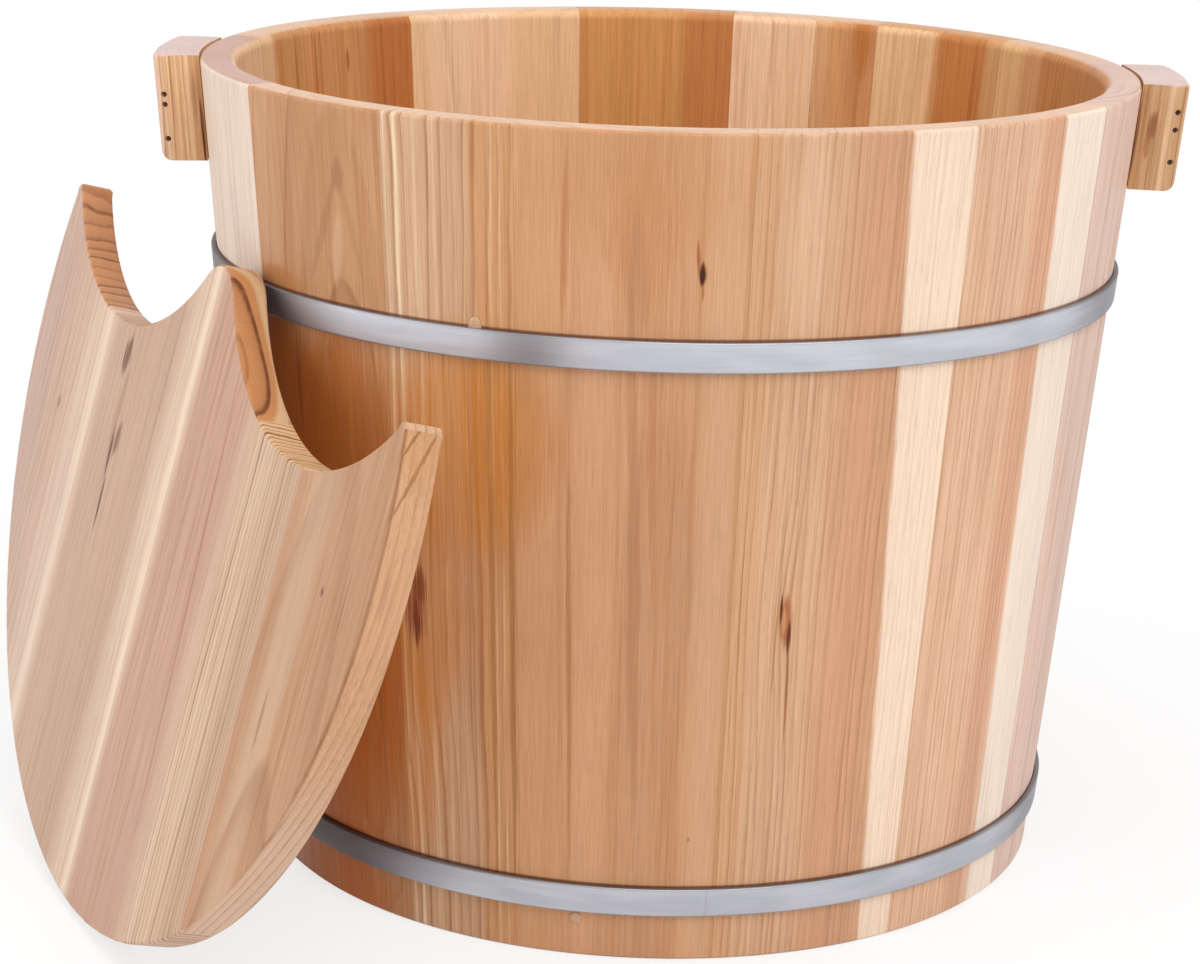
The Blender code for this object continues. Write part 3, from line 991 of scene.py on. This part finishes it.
class Cedar(Paint):
    """One board of sanded cedar, with the cloudiness of its fibres."""

    def __init__(self, name, places, timber):
        super().__init__(name)
        self.timber = timber
        self.shift = timber.seed * SEED_STRIDE
        self.across, self.deep, self.along = places(self)
        self.wander = self.figure(WANDER) - 0.5
        self.curl = self.figure(CURL) - 0.5
        self.streak = self.step(*STREAK_SHOWS, self.figure(STREAK))
        self.patchy = self.figure(PATCH)
        self.hair = self.step(*HAIR_SHOWS, self.figure(HAIR))
        self.fibre = self.figure(FIBRE) - 0.5
        self.pores = self.step(*PORE_SHOWS, self.figure(PORE))

    def figure(self, kind):
        """Cloudy values from 0 to 1 that are different on every board."""
        x = self.across * kind.across
        y = self.deep * kind.across
        if kind.seed_deep:
            y = y + self.shift
        else:
            x = x + self.shift
        return self.noise(x, y, self.along * kind.along, kind.detail, kind.rough)

    def from_pith(self):
        """Distance from the pith, which leans along the board; rings are tubes round it."""
        timber = self.timber
        pith_across, pith_deep = timber.pith
        lean_across, lean_deep = timber.lean
        sway = self.wander * (RING_SWAY * timber.wobble) + self.curl * (RING_CURL * timber.wobble)
        sway = sway + self.fibre * RING_FUZZ
        side = (self.across + sway - (self.along * lean_across + pith_across)) * timber.oval
        dip = self.wander * (RING_DIP * timber.wobble)
        inward = self.deep + dip - (self.along * lean_deep + pith_deep)
        return (side * side + inward * inward).math("SQRT")

    def marks(self, ring):
        """How far each mark covers the wood, and the rings bent round the knots."""
        shares = []
        for mark in self.timber.marks:
            rise = self.along - mark.along
            off = rise / mark.tall
            lies = self.deep if mark.on_edge else self.across
            aside = (lies - mark.across - rise * mark.drift + self.curl * MARK_CURL) / mark.wide
            spread = abs(aside) + off * off + self.fibre * mark.crumbly
            fade = self.step(MARK_EDGE, MARK_CORE, spread)
            share = fade * self.patchy.ranged(*MARK_BY_PATCH) * mark.strength
            if mark.on_edge:
                share = share * self.step(*ARRIS_DEEP, self.deep)
            shares.append(share)
            if mark.bends:
                reach = aside * aside + off * off
                ring = ring + (reach * KNOT_FADE).math("EXPONENT") * (self.timber.rings * KNOT_PUSH)
        return shares, ring

    def late_wood(self, ring):
        """The soft and the hard line of each ring, and a random number for the ring's age."""
        wobble = self.timber.wobble
        ring = ring / self.timber.rings + self.wander * (RING_DRIFT * wobble)
        ring = ring + self.noise(ring * RING_PACE + self.shift, 0.5, 0.5) * (RING_UNEVEN * wobble)
        phase = ring.math("FRACT")
        age = self.chance(ring.math("FLOOR") + self.shift)
        fall = self.step(LINE_END, 1.0, phase)
        soft = self.step(SOFT_START, LINE_END, phase) - fall
        hard = self.step(HARD_START, LINE_END, phase) - fall
        return soft, hard, age

    def lines(self, soft, hard, soft_share, by_age, by_patch):
        """Grain lines, weaker in some rings and patches."""
        return (soft * soft_share + hard * (1 - soft_share)) * by_age * by_patch

    def end_tone(self, grain_axis, from_pith):
        """Tone of the sawn ends, which the foot and the wood outside the core may change."""
        timber = self.timber
        tone = timber.end
        if timber.foot:
            tone = self.mix(self.step(*FOOT_TURN, self.facing(grain_axis)), timber.foot, tone)
        if timber.core:
            outside = self.step(timber.core - CORE_SOFT, timber.core + CORE_SOFT, from_pith)
            tone = self.mix(outside, tone, timber.rind)
        return tone

    def band_share(self, band):
        """How far a band covers the wood; its sides follow the curl of the fibres."""
        place = self.across + self.curl * BAND_CURL + self.fibre
        if band.drift:
            place = place - (self.along - HALF_HEIGHT) * band.drift
        return self.between(band.low, band.high, band.soft, place)


def cedar(name, places, grain_axis, timber, dark_line_heights=(), end_from=STAVE_END):
    """Sanded cedar: growth rings cut by the surface, sapwood, knots, fibres and a satin seal."""
    wood = Cedar(name, places, timber)
    shares, from_pith = wood.marks(wood.from_pith())
    soft, hard, age = wood.late_wood(from_pith)
    by_age = age.ranged(*LINE_BY_AGE)
    line = wood.lines(soft, hard, SOFT_SHARE, by_age, wood.patchy.ranged(*LINE_BY_PATCH))

    seasoned = tuple(tone * aged for tone, aged in zip(timber.heart, SEASONED))
    colour = wood.mix(wood.streak * STREAK_COVER, timber.heart, seasoned)
    end_tone = wood.end_tone(grain_axis, from_pith)
    for band in timber.bands:
        share = wood.band_share(band)
        colour = wood.mix(share * BAND_COVER, colour, band.colour)
        line = line * (1.0 - share * (1.0 - band.grain))
        if band.through:
            end_tone = wood.mix(share * band.through, end_tone, band.colour)
    if timber.edge:
        colour = wood.mix(wood.step(*EDGE_DEEP, wood.deep) * EDGE_COVER, colour, timber.edge)
        arris = wood.between(*ARRIS_DEEP, ARRIS_SOFT, wood.deep)
        colour = wood.shade(arris * ARRIS_SHADE, colour, LATE_WOOD)
    colour = wood.scaled(colour, wood.wander * CLOUDED + 1.0)
    colour = wood.shade(line * timber.lines, colour, LATE_WOOD)
    colour = wood.shade(wood.hair * timber.hairs * HAIR_SHADE, colour, LATE_WOOD)
    for share, mark in zip(shares, timber.marks):
        colour = wood.mix(share, colour, mark.colour)
    colour = wood.scaled(colour, FACE_TONE + wood.fibre * FACE_FIBRE - wood.pores * FACE_PORE)
    outside = wood.step(*OUTSIDE_DEEP, wood.deep)
    # A darker line drawn on the wall just over each hoop's top
    for top in dark_line_heights:
        hoop_line = wood.between(top - HOOP_LINE_BELOW, top + HOOP_LINE_ABOVE, HOOP_LINE_SOFT, wood.along) * outside
        colour = wood.shade(hoop_line * HOOP_LINE_SHADE, colour, HOOP_LINE_TINT)

    # Sawn ends show the rings as arcs and are a different tone
    end = wood.step(*end_from, abs(wood.facing(grain_axis)))
    by_age = age.ranged(*END_LINE_BY_AGE)
    end_line = wood.lines(soft, hard, END_SOFT_SHARE, by_age, wood.patchy.ranged(*END_LINE_BY_PATCH))
    end_grain = END_TONE + wood.fibre * END_FIBRE + wood.wander * CLOUDED - wood.pores * END_PORE
    end_colour = wood.scaled(end_tone, end_grain)
    end_colour = wood.shade(end_line * timber.end_lines, end_colour, END_LINE)
    colour = wood.mix(end * END_COVER, colour, end_colour)

    height = wood.fibre * FIBRE_RISE + line * LINE_RISE - wood.pores * PORE_SINK
    return wood.put(
        Base_Color=colour,
        Roughness=SEAL_ROUGH + wood.fibre * FIBRE_ROUGH + line * LINE_ROUGH,
        Normal=wood.bump(height, GRAIN_RELIEF, GRAIN_BUMP),
        Specular_IOR_Level=SEAL_SPECULAR,
    )


# Strip steel: brushed lines in cycles per degree round and per millimetre up, rubbed patches, dark edges
STEEL_DULL = (0.56, 0.57, 0.62)
STEEL_BRIGHT = (0.62, 0.63, 0.68)
STEEL_ROUGH = 0.55
BRUSH_ROUND = 0.11
BRUSH_UP = 2.6
BRUSH_SEED = 100
BRUSH_TONE = 0.30
BRUSH_ROUGH = 0.12
BRUSH_RELIEF = 0.0002
BRUSH_BUMP = 0.25
RUB_ROUND = 22.0
RUB_UP = 0.12
RUB_SHOWS = (0.42, 0.66)
RUB_GLOSS = 0.06
# Painted shade and dark reflections on the steel
PAINTED_STEEL_SHADE = (0.27, 0.22, 0.21)
WELD_TINT = (0.45, 0.42, 0.42)
WELD_HALF = 0.15
WELD_SOFT = 0.12
WELD_SHADE = 0.18
# Darker bands along the top and bottom edges of the strip
DARK_EDGE = (0.15, 0.13, 0.13)
DARK_EDGE_COVER = 0.5
DARK_EDGE_TOP = (10.9, 12.0)
DARK_EDGE_FOOT = (0.9, 0.0)


def brushed_hoop(name, hoop):
    """Satin strip steel: faint lines along the strip, rubbed patches, spans of painted shade, dark edges and
    one ground weld.
    """
    paint = Paint(name)
    spot = paint.away(paint.position(), TUB_AXIS)
    x = paint.dot(spot, (1, 0, 0))
    y = paint.dot(spot, (0, -1, 0))
    z = paint.dot(spot, (0, 0, 1 / MM)) - hoop.low / MM
    turn = x.math("ARCTAN2", y) * math.degrees(1)
    seed = hoop.low * BRUSH_SEED
    brushed = paint.noise(turn * BRUSH_ROUND, z * BRUSH_UP, seed, detail=3.0, rough=0.6) - 0.5
    patches = paint.noise(x * RUB_ROUND, y * RUB_ROUND, z * RUB_UP)
    rubbed = paint.step(*RUB_SHOWS, patches)
    colour = paint.mix(rubbed, STEEL_DULL, STEEL_BRIGHT)
    colour = paint.scaled(colour, hoop.strip_tone + brushed * BRUSH_TONE)
    # Spans of painted shade: the lid's shade and dark reflections darken the steel there
    for start, end, soft, strength in hoop.shaded_spans:
        colour = paint.shade(paint.between(start, end, soft, turn) * strength, colour, PAINTED_STEEL_SHADE)
    seam = paint.between(hoop.weld - WELD_HALF, hoop.weld + WELD_HALF, WELD_SOFT, turn)
    colour = paint.shade(seam * WELD_SHADE, colour, WELD_TINT)
    dark_edge = paint.step(*DARK_EDGE_TOP, z) + paint.step(*DARK_EDGE_FOOT, z)
    colour = paint.mix(dark_edge * DARK_EDGE_COVER, colour, DARK_EDGE)
    return paint.put(
        Base_Color=colour,
        Metallic=1.0,
        Roughness=STEEL_ROUGH - rubbed * RUB_GLOSS + brushed * BRUSH_ROUGH,
        Normal=paint.bump(brushed + seam, BRUSH_RELIEF, BRUSH_BUMP),
    )


@dataclass
class Finish:
    """Two clouded tones: how fine they are in cycles per metre, and the shader's values."""

    fine: float
    dark: tuple
    pale: tuple
    rough: tuple
    metal: float = 0.0
    coat: float = 0.0
    detail: float = 2.0
    shows: tuple = ()


OXIDISED_NAIL = Finish(
    fine=900,
    dark=(0.035, 0.022, 0.018),
    pale=(0.11, 0.045, 0.022),
    rough=(0.55, 0.75),
    metal=0.6,
    detail=3.0,
    shows=(0.4, 0.65),
)
SPLIT_BAMBOO = Finish(fine=700, dark=(0.50, 0.33, 0.14), pale=(0.70, 0.54, 0.30), rough=(0.6, 0.7))

# A clear drop, drawn as the wood it lies on with a glassy skin
DRIED_LACQUER = Finish(
    fine=600,
    dark=(0.47, 0.25, 0.13),
    pale=(0.62, 0.37, 0.21),
    rough=(0.10, 0.18),
    coat=0.6,
)


def clouded(name, finish):
    paint = Paint(name)
    cloud = paint.noise(*paint.spread_out(finish.fine), finish.detail)
    share = paint.step(*finish.shows, cloud) if finish.shows else cloud
    return paint.put(
        Base_Color=paint.mix(share, finish.dark, finish.pale),
        Metallic=finish.metal,
        Roughness=cloud.ranged(*finish.rough),
        Coat_Weight=finish.coat,
    )


def outer_radius(z):
    return BASE_RADIUS + WALL_SLOPE * z


def arc(centre, radius, start, end, steps):
    points = []
    for i in range(steps + 1):
        a = start + (end - start) * i / steps
        points.append((centre[0] + radius * math.cos(a), centre[1] + radius * math.sin(a)))
    return points


def turned(profile, start, end, closed=False):
    """Sweep an (r, z) profile round the tub's axis."""
    bm = bmesh.new()
    steps = math.ceil((end - start) / TURN_STEP)
    rows = []
    for i in range(steps if closed else steps + 1):
        a = start + (end - start) * i / steps
        rows.append([bm.verts.new((r * math.cos(a), r * math.sin(a), z)) for r, z in profile])
    pairs = list(zip(rows, rows[1:]))
    if closed:
        pairs.append((rows[-1], rows[0]))
    for row, after in pairs:
        for j in range(len(profile)):
            k = (j + 1) % len(profile)
            bm.faces.new((row[j], row[k], after[k], after[j]))
    if not closed:
        bm.faces.new(rows[0])
        bm.faces.new(rows[-1])
    bmesh.ops.recalc_face_normals(bm, faces=bm.faces)
    return bm


def slab(outline, thickness):
    bm = bmesh.new()
    base = bm.faces.new([bm.verts.new((x, y, 0.0)) for x, y in outline])
    top = bmesh.ops.extrude_face_region(bm, geom=[base])
    risen = [v for v in top["geom"] if isinstance(v, bmesh.types.BMVert)]
    bmesh.ops.translate(bm, verts=risen, vec=(0.0, 0.0, thickness))
    bmesh.ops.recalc_face_normals(bm, faces=bm.faces)
    return bm


def round_edges(bm, edges, radius, steps):
    bmesh.ops.bevel(bm, geom=edges, offset=radius, segments=steps, profile=0.5, affect="EDGES")
    bm.normal_update()


def sawn_strip(panel, low, high):
    """One board out of a panel: what lies between two values of x."""
    bm = panel.copy()
    for x, side in ((low, -1), (high, 1)):
        geom = list(bm.verts) + list(bm.edges) + list(bm.faces)
        plane = {"plane_co": (x, 0, 0), "plane_no": (side, 0, 0)}
        bmesh.ops.bisect_plane(bm, geom=geom, clear_outer=True, dist=SAW_NEAR, **plane)
        rim = [e for e in bm.edges if e.is_boundary]
        if rim:
            bmesh.ops.contextual_create(bm, geom=rim)
    return bm


def cuts(shares, low, high):
    edges = [low]
    for share in shares:
        edges.append(edges[-1] + (high - low) * share / sum(shares))
    return edges


def add_piece(name, bm, placed, material, body):
    """Turn a bmesh into a piece that moves with a body."""
    bmesh.ops.recalc_face_normals(bm, faces=bm.faces)
    bmesh.ops.transform(bm, matrix=placed, verts=bm.verts)
    mesh = bpy.data.meshes.new(name)
    bm.to_mesh(mesh)
    bm.free()
    mesh.shade_smooth()
    mesh.set_sharp_from_angle(angle=SHARP_ANGLE)
    mesh.materials.append(material)
    piece = bpy.data.objects.new(name, mesh)
    bpy.context.collection.objects.link(piece)
    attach(piece, body)
    return piece


def stand_for(node, work, bm, placed, material, body):
    """A finer piece in the place of a CAD node, named for the node and the work done on it."""
    piece = add_piece(f"{node}_{work}", bm, placed, material, body)
    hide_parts(node)
    return piece


def make_staves():
    """Staves turned to one smooth wall, so that only grain and tone tell them apart."""

    def inner(z):
        return outer_radius(z) - WALL

    rim_z = TUB_HEIGHT - RIM_ROUND
    croze_low = BOTTOM_LIFT - SEAT_GAP
    croze_high = BOTTOM_LIFT + BOTTOM_THICK + SEAT_GAP
    profile = [(inner(0) + FOOT_EASE, 0), (outer_radius(0) - FOOT_EASE, 0)]
    profile += [(outer_radius(FOOT_EASE), FOOT_EASE)]
    profile += arc((outer_radius(rim_z) - RIM_ROUND, rim_z), RIM_ROUND, 0, math.pi / 2, RIM_STEPS)
    lip_z = TUB_HEIGHT - RIM_LIP
    profile += arc((inner(lip_z) + RIM_LIP, lip_z), RIM_LIP, math.pi / 2, math.pi, LIP_STEPS)
    profile += [(inner(croze_high), croze_high), (inner(croze_high) + CROZE_DEPTH, croze_high)]
    profile += [(inner(croze_low) + CROZE_DEPTH, croze_low), (inner(croze_low), croze_low)]
    profile += [(inner(FOOT_EASE), FOOT_EASE)]

    half_seam = HAIR_SEAM / 2 / RIM_RADIUS
    seams = cuts(STAVE_SHARES, FIRST_SEAM, FIRST_SEAM + 2 * math.pi)
    hoop_tops = tuple((hoop.low + HOOP_WIDTH) / MM for hoop in HOOPS.values())
    placed = Matrix.Translation(TUB_AXIS)
    for number, timber in enumerate(STAVES, 1):
        start, end = seams[number - 1 : number + 1]
        node = f"stave_{number:02d}"
        places = round_the_tub((start + end) / 2)
        wood = cedar(f"cedar_{node}", places, (0, 0, 1), timber, hoop_tops)
        bm = turned(profile, start + half_seam, end - half_seam)
        stand_for(node, "turned", bm, placed, wood, "tub")


def make_bottom():
    """Floor boards with a hairline joint between them."""
    radius = outer_radius(BOTTOM_LIFT) - WALL + CROZE_DEPTH - SEAT_GAP
    last = 2 * math.pi * (BOTTOM_FACETS - 1) / BOTTOM_FACETS
    panel = slab(arc((0, 0), radius, 0, last, BOTTOM_FACETS - 1), BOTTOM_THICK)
    edges = cuts(BOTTOM_SHARES, -radius, radius)
    lift = TUB_AXIS + Vector((0, 0, BOTTOM_LIFT))
    for number, timber in enumerate(BOTTOM_BOARDS, 1):
        low, high = edges[number - 1 : number + 1]
        node = f"bottom_board_{number}"
        middle = lift + Vector(((low + high) / 2, 0, BOTTOM_THICK))
        places = on_a_board(middle, Vector((1, 0, 0)), Vector((0, 0, -1)), Vector((0, 1, 0)))
        wood = cedar(f"cedar_{node}", places, (0, 1, 0), timber)
        bm = sawn_strip(panel, low + HAIR_SEAM, high - HAIR_SEAM)
        stand_for(node, "planed", bm, Matrix.Translation(lift), wood, "tub")
    panel.free()


def make_hoops():
    """Flat strips rolled to the taper of the wall."""
    thick = HOOP_THICK - HOOP_ROUND
    for node, hoop in HOOPS.items():
        low = hoop.low
        high = low + HOOP_WIDTH
        inner_low = outer_radius(low) + SEAT_GAP
        inner_high = outer_radius(high) + SEAT_GAP
        profile = [(inner_low, low)]
        profile += arc((inner_low + thick, low + HOOP_ROUND), HOOP_ROUND, -math.pi / 2, 0, HOOP_STEPS)
        profile += arc((inner_high + thick, high - HOOP_ROUND), HOOP_ROUND, 0, math.pi / 2, HOOP_STEPS)
        profile += [(inner_high, high)]
        bm = turned(profile, 0, 2 * math.pi, closed=True)
        steel = brushed_hoop(f"steel_{node}", hoop)
        stand_for(node, "rolled", bm, Matrix.Translation(TUB_AXIS), steel, "tub")


def make_lacquer_drops():
    """Low domes that lie on the wall where lacquer ran and dried."""
    lacquer = clouded("lacquer_dried", DRIED_LACQUER)
    for number, (bearing, z, half_width, half_height) in enumerate(LACQUER_DROPS, 1):
        bm = bmesh.new()
        bmesh.ops.create_uvsphere(bm, u_segments=DROP_FACETS, v_segments=DROP_FACETS // 2, radius=1.0)
        geom = list(bm.verts) + list(bm.edges) + list(bm.faces)
        plane = {"plane_co": (0, 0, 0), "plane_no": (0, 0, -1)}
        bmesh.ops.bisect_plane(bm, geom=geom, clear_outer=True, dist=DROP_NEAR, **plane)
        bmesh.ops.contextual_create(bm, geom=[e for e in bm.edges if e.is_boundary])
        bmesh.ops.scale(bm, vec=(half_width, half_height, DROP_RISE), verts=bm.verts)
        out = Vector((math.sin(bearing), -math.cos(bearing), -WALL_SLOPE)).normalized()
        side = Vector((math.cos(bearing), math.sin(bearing), 0))
        axes = Matrix((side, out.cross(side), out)).transposed().to_4x4()
        spot = Vector((math.sin(bearing), -math.cos(bearing), 0)) * outer_radius(z)
        placed = Matrix.Translation(TUB_AXIS + spot + Vector((0, 0, z))) @ axes
        add_piece(f"lacquer_drop_{number}", bm, placed, lacquer, "tub")


def ear_block(bearing, half):
    """A curved block with rounded ends and underside and a crisp top."""
    low = TUB_HEIGHT - EAR_HEIGHT
    profile = [
        (outer_radius(low) + SEAT_GAP, low),
        (outer_radius(low) + EAR_THICK, low),
        (outer_radius(TUB_HEIGHT) + EAR_THICK, TUB_HEIGHT),
        (outer_radius(TUB_HEIGHT) + SEAT_GAP, TUB_HEIGHT),
    ]
    bm = turned(profile, bearing - half, bearing + half)

    def outside(edge):
        far = all(math.hypot(*v.co.xy) > outer_radius(v.co.z) + EAR_THICK / 2 for v in edge.verts)
        return far and edge.calc_face_angle(0) > CORNER

    def on_top(edge):
        return all(v.co.z > TUB_HEIGHT - EAR_EASE for v in edge.verts)

    round_edges(bm, [e for e in bm.edges if outside(e) and not on_top(e)], EAR_ROUND, EAR_ROUND_STEPS)
    round_edges(bm, [e for e in bm.edges if outside(e) and on_top(e)], EAR_EASE, EASE_STEPS)
    return bm


def brad_drill(name, bearing, half, front, drops):
    """The brad holes of one ear as a single hidden cutter."""
    end = bearing + front * half
    inward = Vector((-math.cos(end), -math.sin(end), 0))
    along = Vector((math.sin(end), -math.cos(end), 0)) * front
    slant = math.cos(BRAD_ANGLE) * along + math.sin(BRAD_ANGLE) * inward
    turn = slant.to_track_quat("Z", "Y").to_matrix().to_4x4()
    rod = {"segments": BRAD_FACETS, "radius1": BRAD_BORE, "radius2": BRAD_BORE, "depth": BRAD_REACH}
    bm = bmesh.new()
    for drop in drops:
        z = TUB_HEIGHT - drop
        mouth = TUB_AXIS + Vector((0, 0, z)) - inward * (outer_radius(z) + EAR_THICK - BRAD_SET_IN)
        place = Matrix.Translation(mouth + slant * (BRAD_REACH / 2 - EAR_ROUND)) @ turn
        bmesh.ops.create_cone(bm, cap_ends=True, matrix=place, **rod)
    mesh = bpy.data.meshes.new(name)
    bm.to_mesh(mesh)
    bm.free()
    drill = bpy.data.objects.new(name, mesh)
    drill.hide_render = True
    drill.hide_viewport = True
    bpy.context.collection.objects.link(drill)
    return drill


def make_ears():
    half = EAR_LENGTH / 2 / (RIM_RADIUS + EAR_THICK / 2)
    ears = (("left_ear", math.pi, 1, LEFT_BRAD_DROPS), ("right_ear", 0.0, -1, RIGHT_BRAD_DROPS))
    for node, bearing, front, drops in ears:
        wood = cedar(f"cedar_{node}", out_from_the_wall(bearing), (0, 0, 1), EARS[node])
        bm = ear_block(bearing, half)
        ear = stand_for(node, "shaped", bm, Matrix.Translation(TUB_AXIS), wood, "tub")
        cut = ear.modifiers.new("brad holes", "BOOLEAN")
        cut.object = brad_drill(f"{node}_drill", bearing, half, front, drops)


def lid_outline():
    """The lid from outside: x across, y towards the prong."""
    tip = (0.0, PRONG_TOP - PRONG_ROUND)
    centre_y = SCALLOP_FLOOR + SCALLOP_RADIUS
    spread = math.sqrt((SCALLOP_RADIUS + PRONG_ROUND) ** 2 - (centre_y - tip[1]) ** 2)
    aside = math.atan2(centre_y - tip[1], spread)
    reach = math.hypot(spread, centre_y)
    along = (LID_RADIUS**2 - SCALLOP_RADIUS**2 + reach**2) / (2 * reach)
    horn = math.atan2(centre_y, spread) - math.acos(along / LID_RADIUS)
    horn_x = LID_RADIUS * math.cos(horn)
    horn_y = LID_RADIUS * math.sin(horn)
    to_horn = math.atan2(horn_y - centre_y, horn_x - spread)
    rim = arc((0, 0), LID_RADIUS, horn, -math.pi - horn, LID_RIM_STEPS)
    right = arc((spread, centre_y), SCALLOP_RADIUS, aside - math.pi, to_horn, SCALLOP_STEPS)
    left = [(-x, y) for x, y in reversed(right)]
    crown = arc(tip, PRONG_ROUND, math.pi - aside, aside, PRONG_STEPS)
    return rim + left[1:-1] + crown + right[1:-1]


def make_lid():
    """Boards of the lid, flush on both faces, with sanded edges all round."""
    panel = slab(lid_outline(), LID_THICK)

    def upright(edge):
        return abs(edge.verts[0].co.z - edge.verts[1].co.z) > LID_THICK / 2

    horns = [e for e in panel.edges if upright(e) and e.calc_face_angle(0) > CORNER]
    round_edges(panel, horns, HORN_ROUND, HORN_STEPS)
    round_edges(panel, [e for e in panel.edges if not upright(e)], LID_EASE, EASE_STEPS)

    axes = Matrix((LID_ACROSS, LID_ALONG, LID_OUT)).transposed().to_4x4()
    placed = Matrix.Translation(LID_CENTRE) @ axes
    places = on_a_board(LID_CENTRE + LID_OUT * LID_THICK, LID_ACROSS, -LID_OUT, LID_ALONG)
    low = min(v.co.x for v in panel.verts)
    high = max(v.co.x for v in panel.verts)
    edges = cuts(LID_SHARES, low, high)
    for number, timber in enumerate(LID_BOARDS, 1):
        node = f"lid_board_{number}"
        wood = cedar(f"cedar_{node}", places, LID_ALONG, timber, end_from=LID_SAWN_END)
        bm = sawn_strip(panel, edges[number - 1] + HAIR_SEAM / 2, edges[number] - HAIR_SEAM / 2)
        stand_for(node, "sanded", bm, placed, wood, "lid")
    panel.free()


def finish_small_parts(frame):
    """Pins and brads keep their CAD shapes and get their own finish."""
    nail = clouded("nail_oxidised", OXIDISED_NAIL)
    bamboo = clouded("bamboo_split", SPLIT_BAMBOO)
    for name, node in frame["nodes"].items():
        if "_brad_" in name:
            node.data.materials.clear()
            node.data.materials.append(nail)
        elif "_pin_" in name:
            node.data.materials.clear()
            node.data.materials.append(bamboo)


# Studio: the camera stands in front of the tub, a little above its rim
CAMERA_BACK = 1.25372
CAMERA_HEIGHT = 0.50227
CAMERA_YAW = -0.01997
CAMERA_PITCH = 0.2731
CAMERA_ROLL = 0.02761
CAMERA_LENS = 87.46
CAMERA_SENSOR = 36
FLOOR_HALF = 15
FLOOR_PALE = (0.93, 0.93, 0.93)
FLOOR_ROUGH = 0.9
FLOOR_WHITE = 0.74
FLOOR_FADES = (0.25, 0.9)
WORLD_FILL = 0.62
WHITE = (1.0, 1.0, 1.0)


@dataclass
class Lamp:
    """A soft light: where it hangs, what it looks at, its width and height, and its power."""

    place: Vector
    aim: Vector
    width: float
    height: float
    power: float


LAMPS = {
    "key": Lamp(Vector((0.9, -1.6, 2.1)), Vector((0.05, 0.0, 0.15)), 1.6, 1.2, 27),
    "left": Lamp(Vector((-2.0, -0.6, 1.0)), Vector((-0.05, 0.0, 0.2)), 0.8, 1.8, 10),
    "right": Lamp(Vector((2.0, -0.1, 0.7)), Vector((0.1, 0.0, 0.15)), 0.8, 1.2, 2),
    "over": Lamp(Vector((0.0, -0.3, 2.2)), Vector((0.04, 0.05, 0.2)), 1.6, 1.6, 13),
}


def place_camera():
    yaw_side = math.cos(CAMERA_YAW)
    yaw_front = math.sin(CAMERA_YAW)
    level = Vector((yaw_side, -yaw_front, 0))
    ahead = Vector((yaw_front, yaw_side, 0))
    forward = math.cos(CAMERA_PITCH) * ahead - Vector((0, 0, math.sin(CAMERA_PITCH)))
    upward = level.cross(forward)
    right = math.cos(CAMERA_ROLL) * level + math.sin(CAMERA_ROLL) * upward
    up = math.cos(CAMERA_ROLL) * upward - math.sin(CAMERA_ROLL) * level
    lens = bpy.data.cameras.new("camera")
    lens.lens = CAMERA_LENS
    lens.sensor_width = CAMERA_SENSOR
    lens.sensor_fit = "HORIZONTAL"
    camera = bpy.data.objects.new("camera", lens)
    turn = Matrix((right, up, -forward)).transposed().to_4x4()
    place = TUB_AXIS + Vector((0, -CAMERA_BACK, CAMERA_HEIGHT))
    camera.matrix_world = Matrix.Translation(place) @ turn
    bpy.context.collection.objects.link(camera)
    bpy.context.scene.camera = camera


def hang_lamp(name, lamp):
    area = bpy.data.lights.new(name, "AREA")
    area.shape = "RECTANGLE"
    area.size = lamp.width
    area.size_y = lamp.height
    area.energy = lamp.power
    light = bpy.data.objects.new(name, area)
    light.location = lamp.place
    light.rotation_euler = (lamp.aim - lamp.place).to_track_quat("-Z", "Y").to_euler()
    bpy.context.collection.objects.link(light)


def lay_floor():
    """A pale floor that keeps the object's shadow and goes over to plain white away from it."""
    bm = bmesh.new()
    bmesh.ops.create_grid(bm, x_segments=1, y_segments=1, size=FLOOR_HALF)
    mesh = bpy.data.meshes.new("floor")
    bm.to_mesh(mesh)
    bm.free()
    floor = bpy.data.objects.new("floor", mesh)
    bpy.context.collection.objects.link(floor)
    paint = Paint("floor_pale")
    paint.put(Base_Color=FLOOR_PALE, Roughness=FLOOR_ROUGH)
    lit = Val(paint, paint.shader.outputs[0])
    white = paint.node("ShaderNodeEmission", None, {"Color": WHITE, "Strength": 1.0})
    far = paint.step(*FLOOR_FADES, paint.length(paint.position()))
    share = paint.plain_sight() * (FLOOR_WHITE + far * (1 - FLOOR_WHITE))
    surface = paint.node("ShaderNodeMixShader", None, (share, lit, white))
    paint.feed(paint.tree.nodes["Material Output"].inputs["Surface"], surface)
    mesh.materials.append(paint.material)


def light_the_studio():
    for name, lamp in LAMPS.items():
        hang_lamp(name, lamp)
    world = bpy.data.worlds.new("studio")
    bpy.context.scene.world = world
    world.use_nodes = True
    air = Nodes(world.node_tree)
    back = world.node_tree.nodes["Background"]
    air.feed(back.inputs["Color"], WHITE)
    air.feed(back.inputs["Strength"], WORLD_FILL + air.plain_sight() * (1 - WORLD_FILL))


def main():
    for old in list(bpy.data.objects):
        bpy.data.objects.remove(old)
    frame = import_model()
    make_staves()
    make_bottom()
    make_hoops()
    make_lacquer_drops()
    make_ears()
    make_lid()
    finish_small_parts(frame)
    place_camera()
    lay_floor()
    light_the_studio()
    bpy.context.scene.view_settings.view_transform = "Standard"


main()
